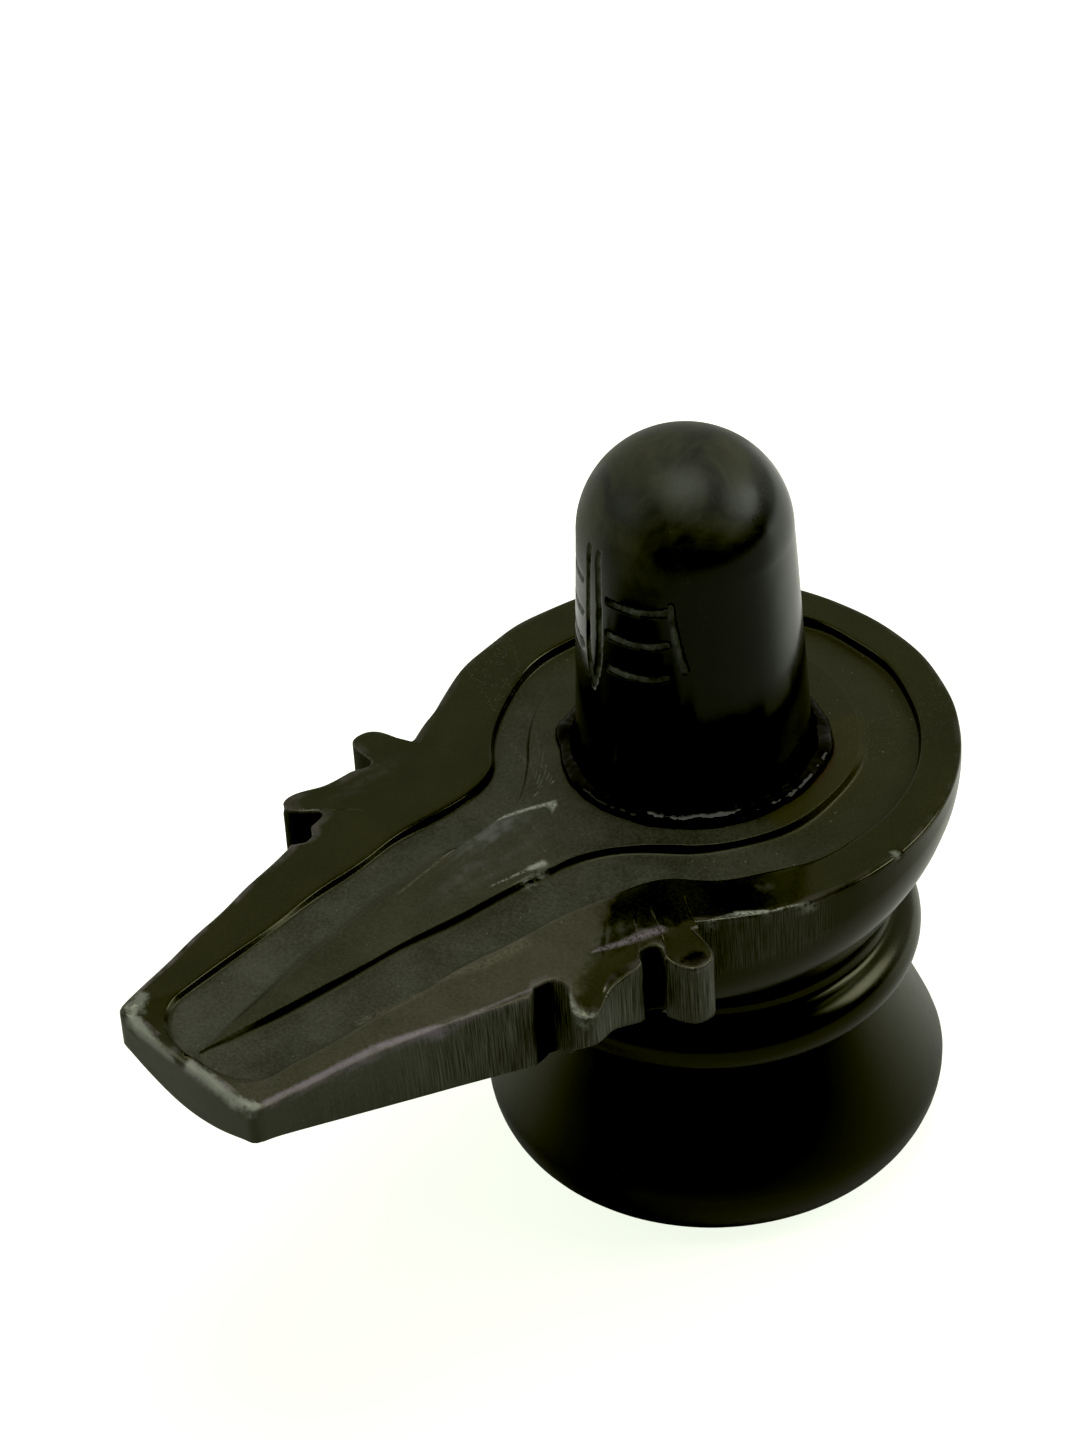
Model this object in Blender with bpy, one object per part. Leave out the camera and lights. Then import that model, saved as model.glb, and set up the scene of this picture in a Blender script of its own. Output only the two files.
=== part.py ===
"""A small stone shiva lingam: a polished shaft set in a spouted base.

The origin is on the ground, on the axis of the shaft. The spout points along
-Y and +Z is up. All sizes are in metres.
"""

import math

import bmesh
import bpy
from mathutils import Vector

# The foot, and the round collar above it
BODY_SHIFT = (0.0009, 0.0005)
FOOT_REST_RADIUS = 0.0222
FOOT_RADIUS = 0.0286
FOOT_WIDEST_HEIGHT = 0.0078
FOOT_WAIST_RADIUS = 0.0206
FOOT_HEIGHT = 0.0246
FOOT_BELLY = 1.15
COLLAR_RADIUS = 0.0260
COLLAR_THICKNESS = 0.0074
COLLAR_GAP = 0.0012
NECK_RADIUS = 0.0223
NECK_HEIGHT = 0.0024

# The shaft, and the way it is set
SHAFT_FOOT_RADIUS = 0.01423
SHAFT_SHOULDER_RADIUS = 0.0127
SHAFT_STRAIGHT_HEIGHT = 0.0313
SHAFT_DOME_HEIGHT = 0.01235
SEAT_DEPTH = 0.0030
SETTING_CLEARANCE = 0.0003
BEAD_WIDTH = 0.0013
BEAD_HEIGHT = 0.0012

# The round plate, from the seat outwards: curb, channel and rim
CURB_WIDTH = 0.00527
CURB_DROP = 0.0002
CHANNEL_WIDTH = 0.0059
CHANNEL_DEPTH = 0.0013
CHANNEL_WALL_RUN = 0.0004
CHANNEL_SHIFT = (0.0013, 0.0007)
RIM_WIDTH = 0.0063
PLATE_SHIFT = (0.0008, -0.0010)
PLATE_RISE = 0.0228

# The plate's side wall, the smooth band under it and the hollow underside
PLATE_WALL = 0.0032
PLATE_WALL_DEEPENS_FROM = math.radians(25)
ROOT_WALL = 0.0115
ARRIS = 0.0004
BAND_HEIGHT = 0.0028
SPOUT_BAND_HEIGHT = 0.0009
BAND_SHARE = 0.10
BOWL_START_SHARE = 0.87
PLATE_BOWL = 0.88
SPOUT_BOWL = 1.6

# The tongue and the two lanes down the spout, and the spout's sides outside them
TONGUE_HALF_WIDTH = 0.0055
TONGUE_ROOT_RUN = 0.0079
TONGUE_END_GAP = 0.0003
TONGUE_FULLNESS = 1.6
LANE_ROOT_WIDTH = 0.0069
LANE_TIP_HALF_WIDTH = 0.0092
LANE_END_LENGTH = 0.0060
LANE_END_POWER = 0.8
LANE_ROOT_BACK = 0.0080
LANES_LEAVE = math.radians(-50)
FLARE_EASE = 0.0050
LOBE_DEPTH = 0.0005
LIP_WIDTH = 0.0009
LIP_DROP = 0.0006
ROOT_SIDE_WIDTH = 0.0088
TIP_SIDE_WIDTH = 0.0029
SPOUT_ROOT_RUN = 0.0078
SPOUT_LENGTH = 0.0392
SPOUT_TIP_WALL = 0.0078
SPOUT_CORNER_WALL = 0.0046
SPOUT_SWING = math.radians(-1.1)

# The two lugs on each side of the spout's root
RIGHT_LUG_START = math.radians(-46)
RIGHT_LUG_DROP = 0.0009
LEFT_LUG_START = math.radians(-43.5)
LEFT_LUG_FLARE = 0.0016
LEFT_LUG_EXTRA_WALL = 0.0015
FLARE_START_SHARE = 0.7

# The carved lines on the shaft, on both sides of a long drop mark
MARK_TURN = math.radians(-101)
MARK_ABOVE_SHOULDER = 0.0025
MARK_LENGTH = 0.0192
MARK_HALF_WIDTH = 0.0018
STRIPES_BELOW_SHOULDER = 0.0079
STRIPE_STEP = 0.0047
STRIPE_START = 0.0027
STRIPE_LENGTH = 0.0078
STRIPE_RISE = 0.0009
END_LINE_OUT = 0.0108
END_LINE_LEAN = 0.0018
END_LINE_ABOVE = 0.0063
END_LINE_HEIGHT = 0.0090
GROOVE_WIDTH = 0.0011
GROOVE_DEPTH = 0.0004

# How finely the forms are faceted
PLATE_POINTS = 22
SPOUT_POINTS = 8
TIP_POINTS = 4
FOOT_STEPS = 4
COLLAR_STEPS = 6
BOWL_STEPS = 4
SHAFT_SIDES = 56
SHAFT_STEPS = 4
DOME_STEPS = 9
BEAD_SIDES = 48
BEAD_STEPS = 4
MARK_STEPS = 8
LINE_STEPS = 5
GROOVE_SIDES = 6

# Where round loops pass from one stretch of the outline to the next, from back to front
ROUND_STOPS = (90, -43, -60, -79, -90)

# The collar's round section, from its lower end to its upper end
COLLAR_SECTION = (math.radians(-75), math.radians(80))

# Each lug point: share of the way from plate to spout, distance out, wall height, share of the drop
LUG_POINTS = (
    (0.00, 0.0028, 0.0103, 0.5),
    (0.01, 0.0050, 0.0096, 0.9),
    (0.08, 0.0060, 0.0094, 1.0),
    (0.27, 0.0061, 0.0090, 1.0),
    (0.35, 0.0024, 0.0098, 0.6),
    (0.47, 0.0024, 0.0093, 0.4),
    (0.62, 0.0026, 0.0085, 0.5),
    (0.80, 0.0032, 0.0072, 0.7),
    (0.97, 0.0051, 0.0056, 1.0),
    (1.08, 0.0056, 0.0052, 1.0),
    (1.17, 0.0045, 0.0054, 1.0),
    (1.08, 0.0019, 0.0085, 0.6),
)
FLARE_POINTS = len(LUG_POINTS) + 1

# Levels and distances that several pieces share
COLLAR_MIDDLE = FOOT_HEIGHT + COLLAR_GAP + COLLAR_THICKNESS / 2
NECK_LEVEL = COLLAR_MIDDLE + COLLAR_THICKNESS / 2 + NECK_HEIGHT
PLATE_TOP = NECK_LEVEL + PLATE_RISE
FLOOR_LEVEL = PLATE_TOP - CHANNEL_DEPTH
CURB_LEVEL = PLATE_TOP - CURB_DROP
SHOULDER_LEVEL = CURB_LEVEL + SHAFT_STRAIGHT_HEIGHT
SEAT_RADIUS = SHAFT_FOOT_RADIUS + SETTING_CLEARANCE
CURB_RADIUS = SEAT_RADIUS + CURB_WIDTH
CHANNEL_RADIUS = CURB_RADIUS + CHANNEL_WIDTH
PLATE_RADIUS = CHANNEL_RADIUS + RIM_WIDTH
LANE_ROOT_HALF_WIDTH = TONGUE_HALF_WIDTH + LANE_ROOT_WIDTH
SPOUT_ROOT_HALF_WIDTH = LANE_ROOT_HALF_WIDTH + ROOT_SIDE_WIDTH
SPOUT_TIP_HALF_WIDTH = LANE_TIP_HALF_WIDTH + TIP_SIDE_WIDTH
SPOUT_ROOT_REACH = PLATE_RADIUS + SPOUT_ROOT_RUN
SPOUT_REACH = SPOUT_ROOT_REACH + SPOUT_LENGTH
LANE_END_REACH = SPOUT_REACH - LIP_WIDTH
TONGUE_REACH = LANE_END_REACH - LOBE_DEPTH - TONGUE_END_GAP - 2 * CHANNEL_WALL_RUN


def clear_scene():
    for obj in list(bpy.data.objects):
        bpy.data.objects.remove(obj, do_unlink=True)


def blend(a, b, share):
    return a + (b - a) * share


def spread(start, end, count):
    """The values from start towards end in even steps, without the end itself."""
    return [blend(start, end, i / count) for i in range(count)]


def ramp(value, start, end):
    """0 before start, 1 after end, and a smooth rise between them."""
    share = max(0.0, min(1.0, (value - start) / (end - start)))
    return share * share * (3 - 2 * share)


def polar(radius, turn):
    return Vector((radius * math.cos(turn), radius * math.sin(turn)))


def curve_between(start, start_way, end, end_way, count):
    """Points of a cubic curve that leaves start along start_way and arrives along end_way."""
    near = start + start_way
    far = end - end_way
    points = []
    for t in spread(0, 1, count):
        s = 1 - t
        points.append(start * s**3 + near * 3 * s * s * t + far * 3 * s * t * t + end * t**3)
    return points


def make_material(name, colour, roughness):
    material = bpy.data.materials.new(name)
    material.use_nodes = True
    shader = material.node_tree.nodes["Principled BSDF"]
    shader.inputs["Base Color"].default_value = (*colour, 1.0)
    shader.inputs["Roughness"].default_value = roughness
    shader.inputs["Metallic"].default_value = 0.0
    return material


def add_object(name, mesh, material):
    mesh.materials.append(material)
    obj = bpy.data.objects.new(name, mesh)
    bpy.context.scene.collection.objects.link(obj)
    return obj


def loft(name, loops):
    """A closed mesh through matching loops of points, with a flat cap at each end."""
    shape = bmesh.new()
    rings = [[shape.verts.new(point) for point in loop] for loop in loops]
    for low, high in zip(rings, rings[1:]):
        for i in range(len(low)):
            j = (i + 1) % len(low)
            shape.faces.new((low[i], low[j], high[j], high[i]))
    shape.faces.new(list(reversed(rings[0])))
    shape.faces.new(rings[-1])
    bmesh.ops.recalc_face_normals(shape, faces=shape.faces)
    mesh = bpy.data.meshes.new(name)
    shape.to_mesh(mesh)
    shape.free()
    return mesh


# The right half of each plan curve runs from the back of the plate to the middle of the
# spout's tip, with the same number of points in each stretch, so that the loops match.


def half_round(radius):
    """Half a circle about the axis, spaced to match the plate, the lugs and the spout."""
    counts = (PLATE_POINTS, FLARE_POINTS, SPOUT_POINTS, TIP_POINTS)
    turns = []
    for start, end, count in zip(ROUND_STOPS, ROUND_STOPS[1:], counts):
        turns += spread(math.radians(start), math.radians(end), count)
    turns.append(math.radians(ROUND_STOPS[-1]))
    return [polar(radius, turn) for turn in turns]


# The edge functions give, for each point, its place, the height of the side wall there and the
# drop of the top, then the place and the wall height that the underside starts from.


def plate_edge(lug_start, flare):
    """The edge round the plate, whose wall deepens towards the front."""
    points = []
    for turn in spread(math.pi / 2, lug_start, PLATE_POINTS):
        radius = PLATE_RADIUS + flare * ramp(-turn, -lug_start * FLARE_START_SHARE, -lug_start)
        deep = (PLATE_WALL_DEEPENS_FROM - turn) / (PLATE_WALL_DEEPENS_FROM - lug_start)
        place = polar(radius, turn)
        wall = blend(PLATE_WALL, ROOT_WALL, max(0.0, deep))
        points.append((place, wall, 0.0, place, wall))
    return points


def lug_edge(lug_start, flare, lug_drop, extra_wall):
    """The two lugs, set out from the line between the plate's edge and the spout's root."""
    start = polar(PLATE_RADIUS + flare, lug_start)
    end = Vector((SPOUT_ROOT_HALF_WIDTH, -SPOUT_ROOT_REACH))
    along = (end - start).normalized()
    out = Vector((-along.y, along.x))
    points = [(start, ROOT_WALL, 0.0, start, ROOT_WALL)]
    for i, (share, distance, wall, drop) in enumerate(LUG_POINTS):
        place = start.lerp(end, share) + out * distance
        under = start.lerp(end, (i + 1) / FLARE_POINTS)
        points.append((place, wall + extra_wall, drop * lug_drop, under, ROOT_WALL))
    return points


def spout_edge():
    """The long side of the spout, then half of its nearly straight front edge."""
    points = []
    for share in spread(0, 1, SPOUT_POINTS):
        x = blend(SPOUT_ROOT_HALF_WIDTH, SPOUT_TIP_HALF_WIDTH, share)
        y = -blend(SPOUT_ROOT_REACH, SPOUT_REACH - ARRIS, share)
        place = Vector((x, y))
        wall = blend(ROOT_WALL, SPOUT_CORNER_WALL, share)
        points.append((place, wall, 0.0, place, wall))
    for share in spread(0, 1, TIP_POINTS) + [1]:
        place = Vector((SPOUT_TIP_HALF_WIDTH * (1 - share), -SPOUT_REACH))
        wall = blend(SPOUT_CORNER_WALL, SPOUT_TIP_WALL, math.sin(share * math.pi / 2))
        points.append((place, wall, LIP_DROP * min(1, 2 * share), place, wall))
    return points


def half_channel(inset):
    """The channel's outer wall: round the plate, down one lane and round the lane's end."""
    radius = CHANNEL_RADIUS - inset
    circle = [polar(radius, turn) for turn in spread(math.pi / 2, LANES_LEAVE, PLATE_POINTS)]
    root = Vector((LANE_ROOT_HALF_WIDTH - inset, LANE_ROOT_BACK - SPOUT_ROOT_REACH))
    tip = Vector((LANE_TIP_HALF_WIDTH - inset, LANE_END_LENGTH - LANE_END_REACH))
    leave_way = polar(FLARE_EASE, LANES_LEAVE - math.pi / 2)
    arrive_way = (tip - root).normalized() * FLARE_EASE
    flare = curve_between(polar(radius, LANES_LEAVE), leave_way, root, arrive_way, FLARE_POINTS)
    lane = [root.lerp(tip, share) for share in spread(0, 1, SPOUT_POINTS)]
    end = []
    for share in spread(0, 1, TIP_POINTS) + [1]:
        turn = share * math.pi / 2
        reach = (LANE_END_LENGTH - inset) * math.sin(turn) - LOBE_DEPTH * share**4
        end.append(Vector((tip.x * math.cos(turn) ** LANE_END_POWER, tip.y - reach)))
    return circle + flare + lane + end


def half_curb(outset):
    """The curb's outer edge round the shaft, then one side of the tongue down to its point."""
    radius = CURB_RADIUS + outset
    circle = [polar(radius, turn) for turn in spread(math.pi / 2, LANES_LEAVE, PLATE_POINTS)]

    def side(share):
        width = TONGUE_HALF_WIDTH * (1 - share**TONGUE_FULLNESS) + outset * (1 - share)
        return Vector((width, -blend(CURB_RADIUS + TONGUE_ROOT_RUN, TONGUE_REACH + outset, share)))

    leave_way = polar(FLARE_EASE, LANES_LEAVE - math.pi / 2)
    arrive_way = Vector((0, -FLARE_EASE))
    flare = curve_between(polar(radius, LANES_LEAVE), leave_way, side(0), arrive_way, FLARE_POINTS)
    edge = [side(share) for share in spread(0, 1, SPOUT_POINTS + TIP_POINTS) + [1]]
    return circle + flare + edge


def plan(half, left_half=None):
    """A whole plan loop from its right half, and a left half if that is cut differently."""
    return half + [Vector((-p.x, p.y)) for p in (left_half or half)[-2:0:-1]]


def hand_cut(p, shift=(0.0, 0.0)):
    """Where a plan point really lies: the plate is cut off centre, and the spout askew."""
    share = ramp(-p.y, SPOUT_ROOT_REACH / 2, SPOUT_ROOT_REACH)
    turn = SPOUT_SWING * share
    x = p.x + shift[0] * (1 - share)
    y = p.y + shift[1] * (1 - share)
    return Vector((x * math.cos(turn) - y * math.sin(turn), x * math.sin(turn) + y * math.cos(turn)))


def at_height(points, height):
    return [Vector((*p, height)) for p in points]


def body_circle(radius, height):
    """A level circle about the middle of the foot, which lies a little off the shaft's axis."""
    shift = Vector(BODY_SHIFT)
    return at_height([p + shift for p in plan(half_round(radius))], height)


def foot_loops():
    profile = []
    for turn in spread(0, math.pi / 2, FOOT_STEPS):
        radius = FOOT_REST_RADIUS + (FOOT_RADIUS - FOOT_REST_RADIUS) * math.sin(turn)
        profile.append((radius, FOOT_WIDEST_HEIGHT * (1 - math.cos(turn))))
    for share in spread(0, 1, FOOT_STEPS) + [1]:
        radius = blend(FOOT_RADIUS, FOOT_WAIST_RADIUS, share**FOOT_BELLY)
        profile.append((radius, blend(FOOT_WIDEST_HEIGHT, FOOT_HEIGHT, share)))
    return [body_circle(radius, height) for radius, height in profile]


def collar_loops():
    profile = [(FOOT_WAIST_RADIUS, FOOT_HEIGHT + COLLAR_GAP / 2)]
    half_thick = COLLAR_THICKNESS / 2
    for turn in spread(*COLLAR_SECTION, COLLAR_STEPS) + [COLLAR_SECTION[1]]:
        radius = COLLAR_RADIUS - half_thick + half_thick * math.cos(turn)
        profile.append((radius, COLLAR_MIDDLE + half_thick * math.sin(turn)))
    profile.append((NECK_RADIUS, NECK_LEVEL))
    return [body_circle(radius, height) for radius, height in profile]


def underside_loops(edge, walls, under, under_walls):
    """From the neck up the bowl under the plate and out along the spout, to the side wall."""
    neck = body_circle(NECK_RADIUS, NECK_LEVEL)
    loops = []
    for share in spread(BOWL_START_SHARE, BAND_SHARE, BOWL_STEPS) + [BAND_SHARE]:
        loop = []
        outer = zip(edge, neck, walls) if share == BAND_SHARE else zip(under, neck, under_walls)
        for p, inner, wall in outer:
            on_spout = ramp(-p.y, PLATE_RADIUS / 2, SPOUT_ROOT_REACH)
            bowl = blend(PLATE_BOWL, SPOUT_BOWL, on_spout)
            rise = 1 - ((share - BAND_SHARE) / (1 - BAND_SHARE)) ** bowl
            band = blend(BAND_HEIGHT, SPOUT_BAND_HEIGHT, on_spout)
            height = blend(NECK_LEVEL, PLATE_TOP - wall - band, rise)
            loop.append(Vector((*p.lerp(inner.xy, share), height)))
        loops.append(loop)
    wall_foot = [Vector((*p, PLATE_TOP - wall)) for p, wall in zip(edge, walls)]
    turn_in = []
    for low, high in zip(loops[-1], wall_foot):
        turn_in.append(Vector((*low.xy.lerp(high.xy, 0.6), (low.z + high.z) / 2)))
    return loops + [turn_in, wall_foot]


def top_loops(edge, drops):
    """The wall's upper edge, the rim, the channel, the curb with its tongue, and the seat."""
    rim = [hand_cut(p, CHANNEL_SHIFT) for p in plan(half_channel(0))]
    floor_edge = [hand_cut(p, CHANNEL_SHIFT) for p in plan(half_channel(CHANNEL_WALL_RUN))]
    curb_foot = [hand_cut(p) for p in plan(half_curb(CHANNEL_WALL_RUN))]
    curb = [hand_cut(p) for p in plan(half_curb(0))]
    seat = plan(half_round(SEAT_RADIUS))
    middle_reach = (SPOUT_ROOT_REACH + SPOUT_REACH) / 2
    worn = [drop if p.y < -middle_reach else 0 for p, drop in zip(edge, drops)]
    wall_top = [Vector((*p, PLATE_TOP - drop - ARRIS)) for p, drop in zip(edge, drops)]
    rim_edge = []
    for p, inner, drop in zip(edge, rim, drops):
        rim_edge.append(Vector((*(p + (inner - p).normalized() * ARRIS), PLATE_TOP - drop)))
    return [
        wall_top,
        rim_edge,
        [Vector((*p, PLATE_TOP - drop)) for p, drop in zip(rim, worn)],
        at_height(floor_edge, FLOOR_LEVEL),
        at_height(curb_foot, FLOOR_LEVEL),
        at_height(curb, CURB_LEVEL),
        at_height(seat, CURB_LEVEL),
        at_height(seat, CURB_LEVEL - SEAT_DEPTH),
    ]


def make_base(material):
    right = plate_edge(RIGHT_LUG_START, 0) + lug_edge(RIGHT_LUG_START, 0, RIGHT_LUG_DROP, 0)
    right += spout_edge()
    left = plate_edge(LEFT_LUG_START, LEFT_LUG_FLARE)
    left += lug_edge(LEFT_LUG_START, LEFT_LUG_FLARE, 0, LEFT_LUG_EXTRA_WALL) + spout_edge()
    around = right + left[-2:0:-1]
    edge = [hand_cut(p, PLATE_SHIFT) for p in plan([p[0] for p in right], [p[0] for p in left])]
    under = [hand_cut(p, PLATE_SHIFT) for p in plan([p[3] for p in right], [p[3] for p in left])]
    walls = [p[1] for p in around]
    drops = [p[2] for p in around]
    under_walls = [p[4] for p in around]
    loops = foot_loops() + collar_loops()
    loops += underside_loops(edge, walls, under, under_walls) + top_loops(edge, drops)
    base = add_object("yoni_base", loft("yoni_base", loops), material)
    base.data.shade_smooth()
    base.data.set_sharp_from_angle(angle=math.radians(35))
    return base


def turned(name, profile, closed, sides, material):
    """A turned piece: a profile of (radius, height) swept round the axis by a Screw."""
    edges = [(i, i + 1) for i in range(len(profile) - 1)]
    if closed:
        edges.append((len(profile) - 1, 0))
    mesh = bpy.data.meshes.new(name)
    mesh.from_pydata([(radius, 0, height) for radius, height in profile], edges, [])
    obj = add_object(name, mesh, material)
    screw = obj.modifiers.new("turned", "SCREW")
    screw.axis = "Z"
    screw.steps = sides
    screw.render_steps = sides
    screw.use_merge_vertices = True
    screw.merge_threshold = 0.00001
    return obj


def shaft_radius(height):
    """The shaft narrows slightly from the curb to its shoulder."""
    share = max(0.0, min(1.0, (height - CURB_LEVEL) / SHAFT_STRAIGHT_HEIGHT))
    return blend(SHAFT_FOOT_RADIUS, SHAFT_SHOULDER_RADIUS, share)


def shaft_profile():
    """From the top of the dome down to the middle of the shaft's underside."""
    points = []
    for turn in spread(0, math.pi / 2, DOME_STEPS):
        radius = SHAFT_SHOULDER_RADIUS * math.sin(turn)
        points.append((radius, SHOULDER_LEVEL + SHAFT_DOME_HEIGHT * math.cos(turn)))
    for height in spread(SHOULDER_LEVEL, CURB_LEVEL, SHAFT_STEPS) + [CURB_LEVEL]:
        points.append((shaft_radius(height), height))
    bottom = CURB_LEVEL - SEAT_DEPTH + SETTING_CLEARANCE
    return points + [(SHAFT_FOOT_RADIUS, bottom), (0, bottom)]


def mark_path():
    """Down one side of the drop mark, round its lower end and up the other side."""
    top = SHOULDER_LEVEL + MARK_ABOVE_SHOULDER
    points = []
    for i in range(-MARK_STEPS, MARK_STEPS + 1):
        down = 1 - abs(i / MARK_STEPS) ** 1.5
        width = MARK_HALF_WIDTH * (1 + down) / 2 * math.sqrt(1 - down**6)
        points.append((math.copysign(width, i), top - MARK_LENGTH * down))
    return points


def stripe_path(side, step):
    """One of the three level lines on a side, which turns up a little at its outer end."""
    middle = SHOULDER_LEVEL - STRIPES_BELOW_SHOULDER + step * STRIPE_STEP
    points = []
    for share in spread(0, 1, LINE_STEPS) + [1]:
        points.append((side * (STRIPE_START + STRIPE_LENGTH * share), middle + STRIPE_RISE * share**3))
    return points


def end_line_path(side):
    """The slanting line that closes the outer ends of the three."""
    top = SHOULDER_LEVEL - STRIPES_BELOW_SHOULDER + END_LINE_ABOVE
    points = []
    for share in spread(0, 1, LINE_STEPS) + [1]:
        out = END_LINE_OUT + END_LINE_LEAN * share**1.5
        points.append((side * out, top - END_LINE_HEIGHT * share))
    return points


def groove_cutter(name, path, width, collection):
    """A tube along a path of (distance round the shaft from the mark, height)."""
    bow = (width**2 / 4 + GROOVE_DEPTH**2) / (2 * GROOVE_DEPTH)
    centres = []
    for distance, height in path:
        turn = MARK_TURN + distance / shaft_radius(height)
        centres.append(Vector((*polar(shaft_radius(height) + bow - GROOVE_DEPTH, turn), height)))
    loops = []
    for i, centre in enumerate(centres):
        along = centres[min(i + 1, len(centres) - 1)] - centres[max(i - 1, 0)]
        inward = Vector((-centre.x, -centre.y, 0)).normalized()
        across = along.cross(inward).normalized()
        loop = []
        for k in range(GROOVE_SIDES):
            turn = 2 * math.pi * k / GROOVE_SIDES
            loop.append(centre + inward * bow * math.cos(turn) + across * bow * math.sin(turn))
        loops.append(loop)
    cutter = bpy.data.objects.new(name, loft(name, loops))
    collection.objects.link(cutter)
    cutter.hide_render = True
    cutter.display_type = "WIRE"


def make_shaft(material):
    shaft = turned("lingam_shaft", shaft_profile(), False, SHAFT_SIDES, material)
    grooves = bpy.data.collections.new("groove cutters")
    bpy.context.scene.collection.children.link(grooves)
    groove_cutter("mark groove", mark_path(), GROOVE_WIDTH, grooves)
    for side in (-1, 1):
        for step in (-1, 0, 1):
            groove_cutter("stripe groove", stripe_path(side, step), GROOVE_WIDTH, grooves)
        groove_cutter("end groove", end_line_path(side), GROOVE_WIDTH / 2, grooves)
    cut = shaft.modifiers.new("carved lines", "BOOLEAN")
    cut.operation = "DIFFERENCE"
    cut.operand_type = "COLLECTION"
    cut.collection = grooves
    cut.solver = "EXACT"
    return shaft


def make_bead(material):
    """The bead of setting compound, a rounded fillet between the shaft and the curb."""
    low = CURB_LEVEL + SETTING_CLEARANCE
    profile = []
    for share in spread(0, 1, BEAD_STEPS) + [1]:
        profile.append((SEAT_RADIUS + BEAD_WIDTH * share, low + BEAD_HEIGHT * (1 - share**2)))
    profile.append((SEAT_RADIUS, low))
    return turned("setting_bead", profile, True, BEAD_SIDES, material)


def main():
    clear_scene()
    make_base(make_material("black stone", (0.045, 0.045, 0.036), 0.45))
    make_shaft(make_material("polished black stone", (0.022, 0.023, 0.019), 0.22))
    make_bead(make_material("setting compound", (0.015, 0.014, 0.012), 0.12))


main()
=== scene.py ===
"""A small stone shiva lingam: a polished shaft set in a hand-carved, spouted base.

The origin is on the table, on the axis of the shaft. The spout points along -Y and +Z is up.
All sizes are in metres.
"""

import math

import bpy
import numpy as np
from mathutils import Matrix, Vector


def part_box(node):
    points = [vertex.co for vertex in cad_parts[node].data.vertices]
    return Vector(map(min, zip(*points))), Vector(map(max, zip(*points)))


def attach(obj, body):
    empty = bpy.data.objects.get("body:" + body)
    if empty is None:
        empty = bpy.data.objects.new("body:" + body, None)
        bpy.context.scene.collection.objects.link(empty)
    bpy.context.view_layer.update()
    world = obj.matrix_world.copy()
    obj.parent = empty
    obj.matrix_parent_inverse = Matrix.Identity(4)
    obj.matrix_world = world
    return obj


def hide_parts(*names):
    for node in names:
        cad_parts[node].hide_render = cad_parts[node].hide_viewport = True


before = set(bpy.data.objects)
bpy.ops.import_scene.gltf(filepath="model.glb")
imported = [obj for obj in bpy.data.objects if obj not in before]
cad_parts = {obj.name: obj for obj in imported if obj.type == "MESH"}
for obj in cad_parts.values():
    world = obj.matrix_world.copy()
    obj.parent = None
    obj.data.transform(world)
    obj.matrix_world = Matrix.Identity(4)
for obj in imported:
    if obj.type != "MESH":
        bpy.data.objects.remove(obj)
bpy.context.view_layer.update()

bl_info = {
    "name": "Stone shiva lingam",
    "version": (1, 0, 0),
    "blender": (4, 5, 0),
    "location": "3D View > Sidebar > Lingam",
    "description": "Carves a small stone lingam on its spouted base and sets it on a pale table",
    "category": "Add Mesh",
}

# Levels and widths read from the solids, so that the carving always fits them
BASE_LOW, BASE_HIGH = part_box("yoni_base")
SHAFT_LOW, SHAFT_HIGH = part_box("lingam_shaft")
PLATE_TOP = BASE_HIGH.z
SPOUT_REACH = -BASE_LOW.y - 0.0002
SHAFT_FOOT_RADIUS = (SHAFT_HIGH.x - SHAFT_LOW.x) / 2

# The foot, the collar and the neck
BODY_SHIFT = (0.0009, 0.0005)
FOOT_REST_RADIUS = 0.0222
FOOT_RADIUS = 0.0286
FOOT_WIDEST_HEIGHT = 0.0078
FOOT_WAIST_RADIUS = 0.0206
FOOT_HEIGHT = 0.0246
FOOT_BELLY = 1.15
COLLAR_RADIUS = 0.0260
COLLAR_THICKNESS = 0.0074
COLLAR_GAP = 0.0012
NECK_RADIUS = 0.0223
NECK_HEIGHT = 0.0024
COLLAR_MIDDLE = FOOT_HEIGHT + COLLAR_GAP + COLLAR_THICKNESS / 2
NECK_LEVEL = COLLAR_MIDDLE + COLLAR_THICKNESS / 2 + NECK_HEIGHT

# The plate, its curb and channel, and the hollow underside
PLATE_RADIUS = 0.0320
PLATE_SHIFT = (0.0008, -0.0010)
PLATE_WALL = 0.0032
PLATE_WALL_DEEPENS_FROM = math.radians(25)
ROOT_WALL = 0.0115
BAND_HEIGHT = 0.0028
SPOUT_BAND_HEIGHT = 0.0009
BAND_SHARE = 0.10
PLATE_BOWL = 0.88
SPOUT_BOWL = 1.6
CHANNEL_RADIUS = 0.0257
CHANNEL_SHIFT = (0.0013, 0.0007)
CHANNEL_WALL_RUN = 0.0004
CURB_RADIUS = 0.0198
CURB_DROP = 0.0002
SEAT_RADIUS = 0.01453
SEAT_DEPTH = 0.0030

# The spout with its lanes and tongue
TONGUE_HALF_WIDTH = 0.0055
TONGUE_ROOT_RUN = 0.0079
TONGUE_FULLNESS = 1.6
TONGUE_RIGHT_HALF_WIDTH = 0.0049
TONGUE_RIGHT_FULLNESS = 1.0
LANE_ROOT_HALF_WIDTH = 0.0124
LANE_TIP_HALF_WIDTH = 0.0092
LANE_END_LENGTH = 0.0060
LANE_END_POWER = 0.8
LANE_ROOT_BACK = 0.0080
LANES_LEAVE = math.radians(-50)
FLARE_EASE = 0.0050
LOBE_DEPTH = 0.0005
LIP_WIDTH = 0.0009
LIP_DROP = 0.0006
LIP_ARRIS = 0.0009
NEAR_SIDE_LEAN = 0.0011
SPOUT_ROOT_HALF_WIDTH = 0.0212
SPOUT_TIP_HALF_WIDTH = 0.0121
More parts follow.
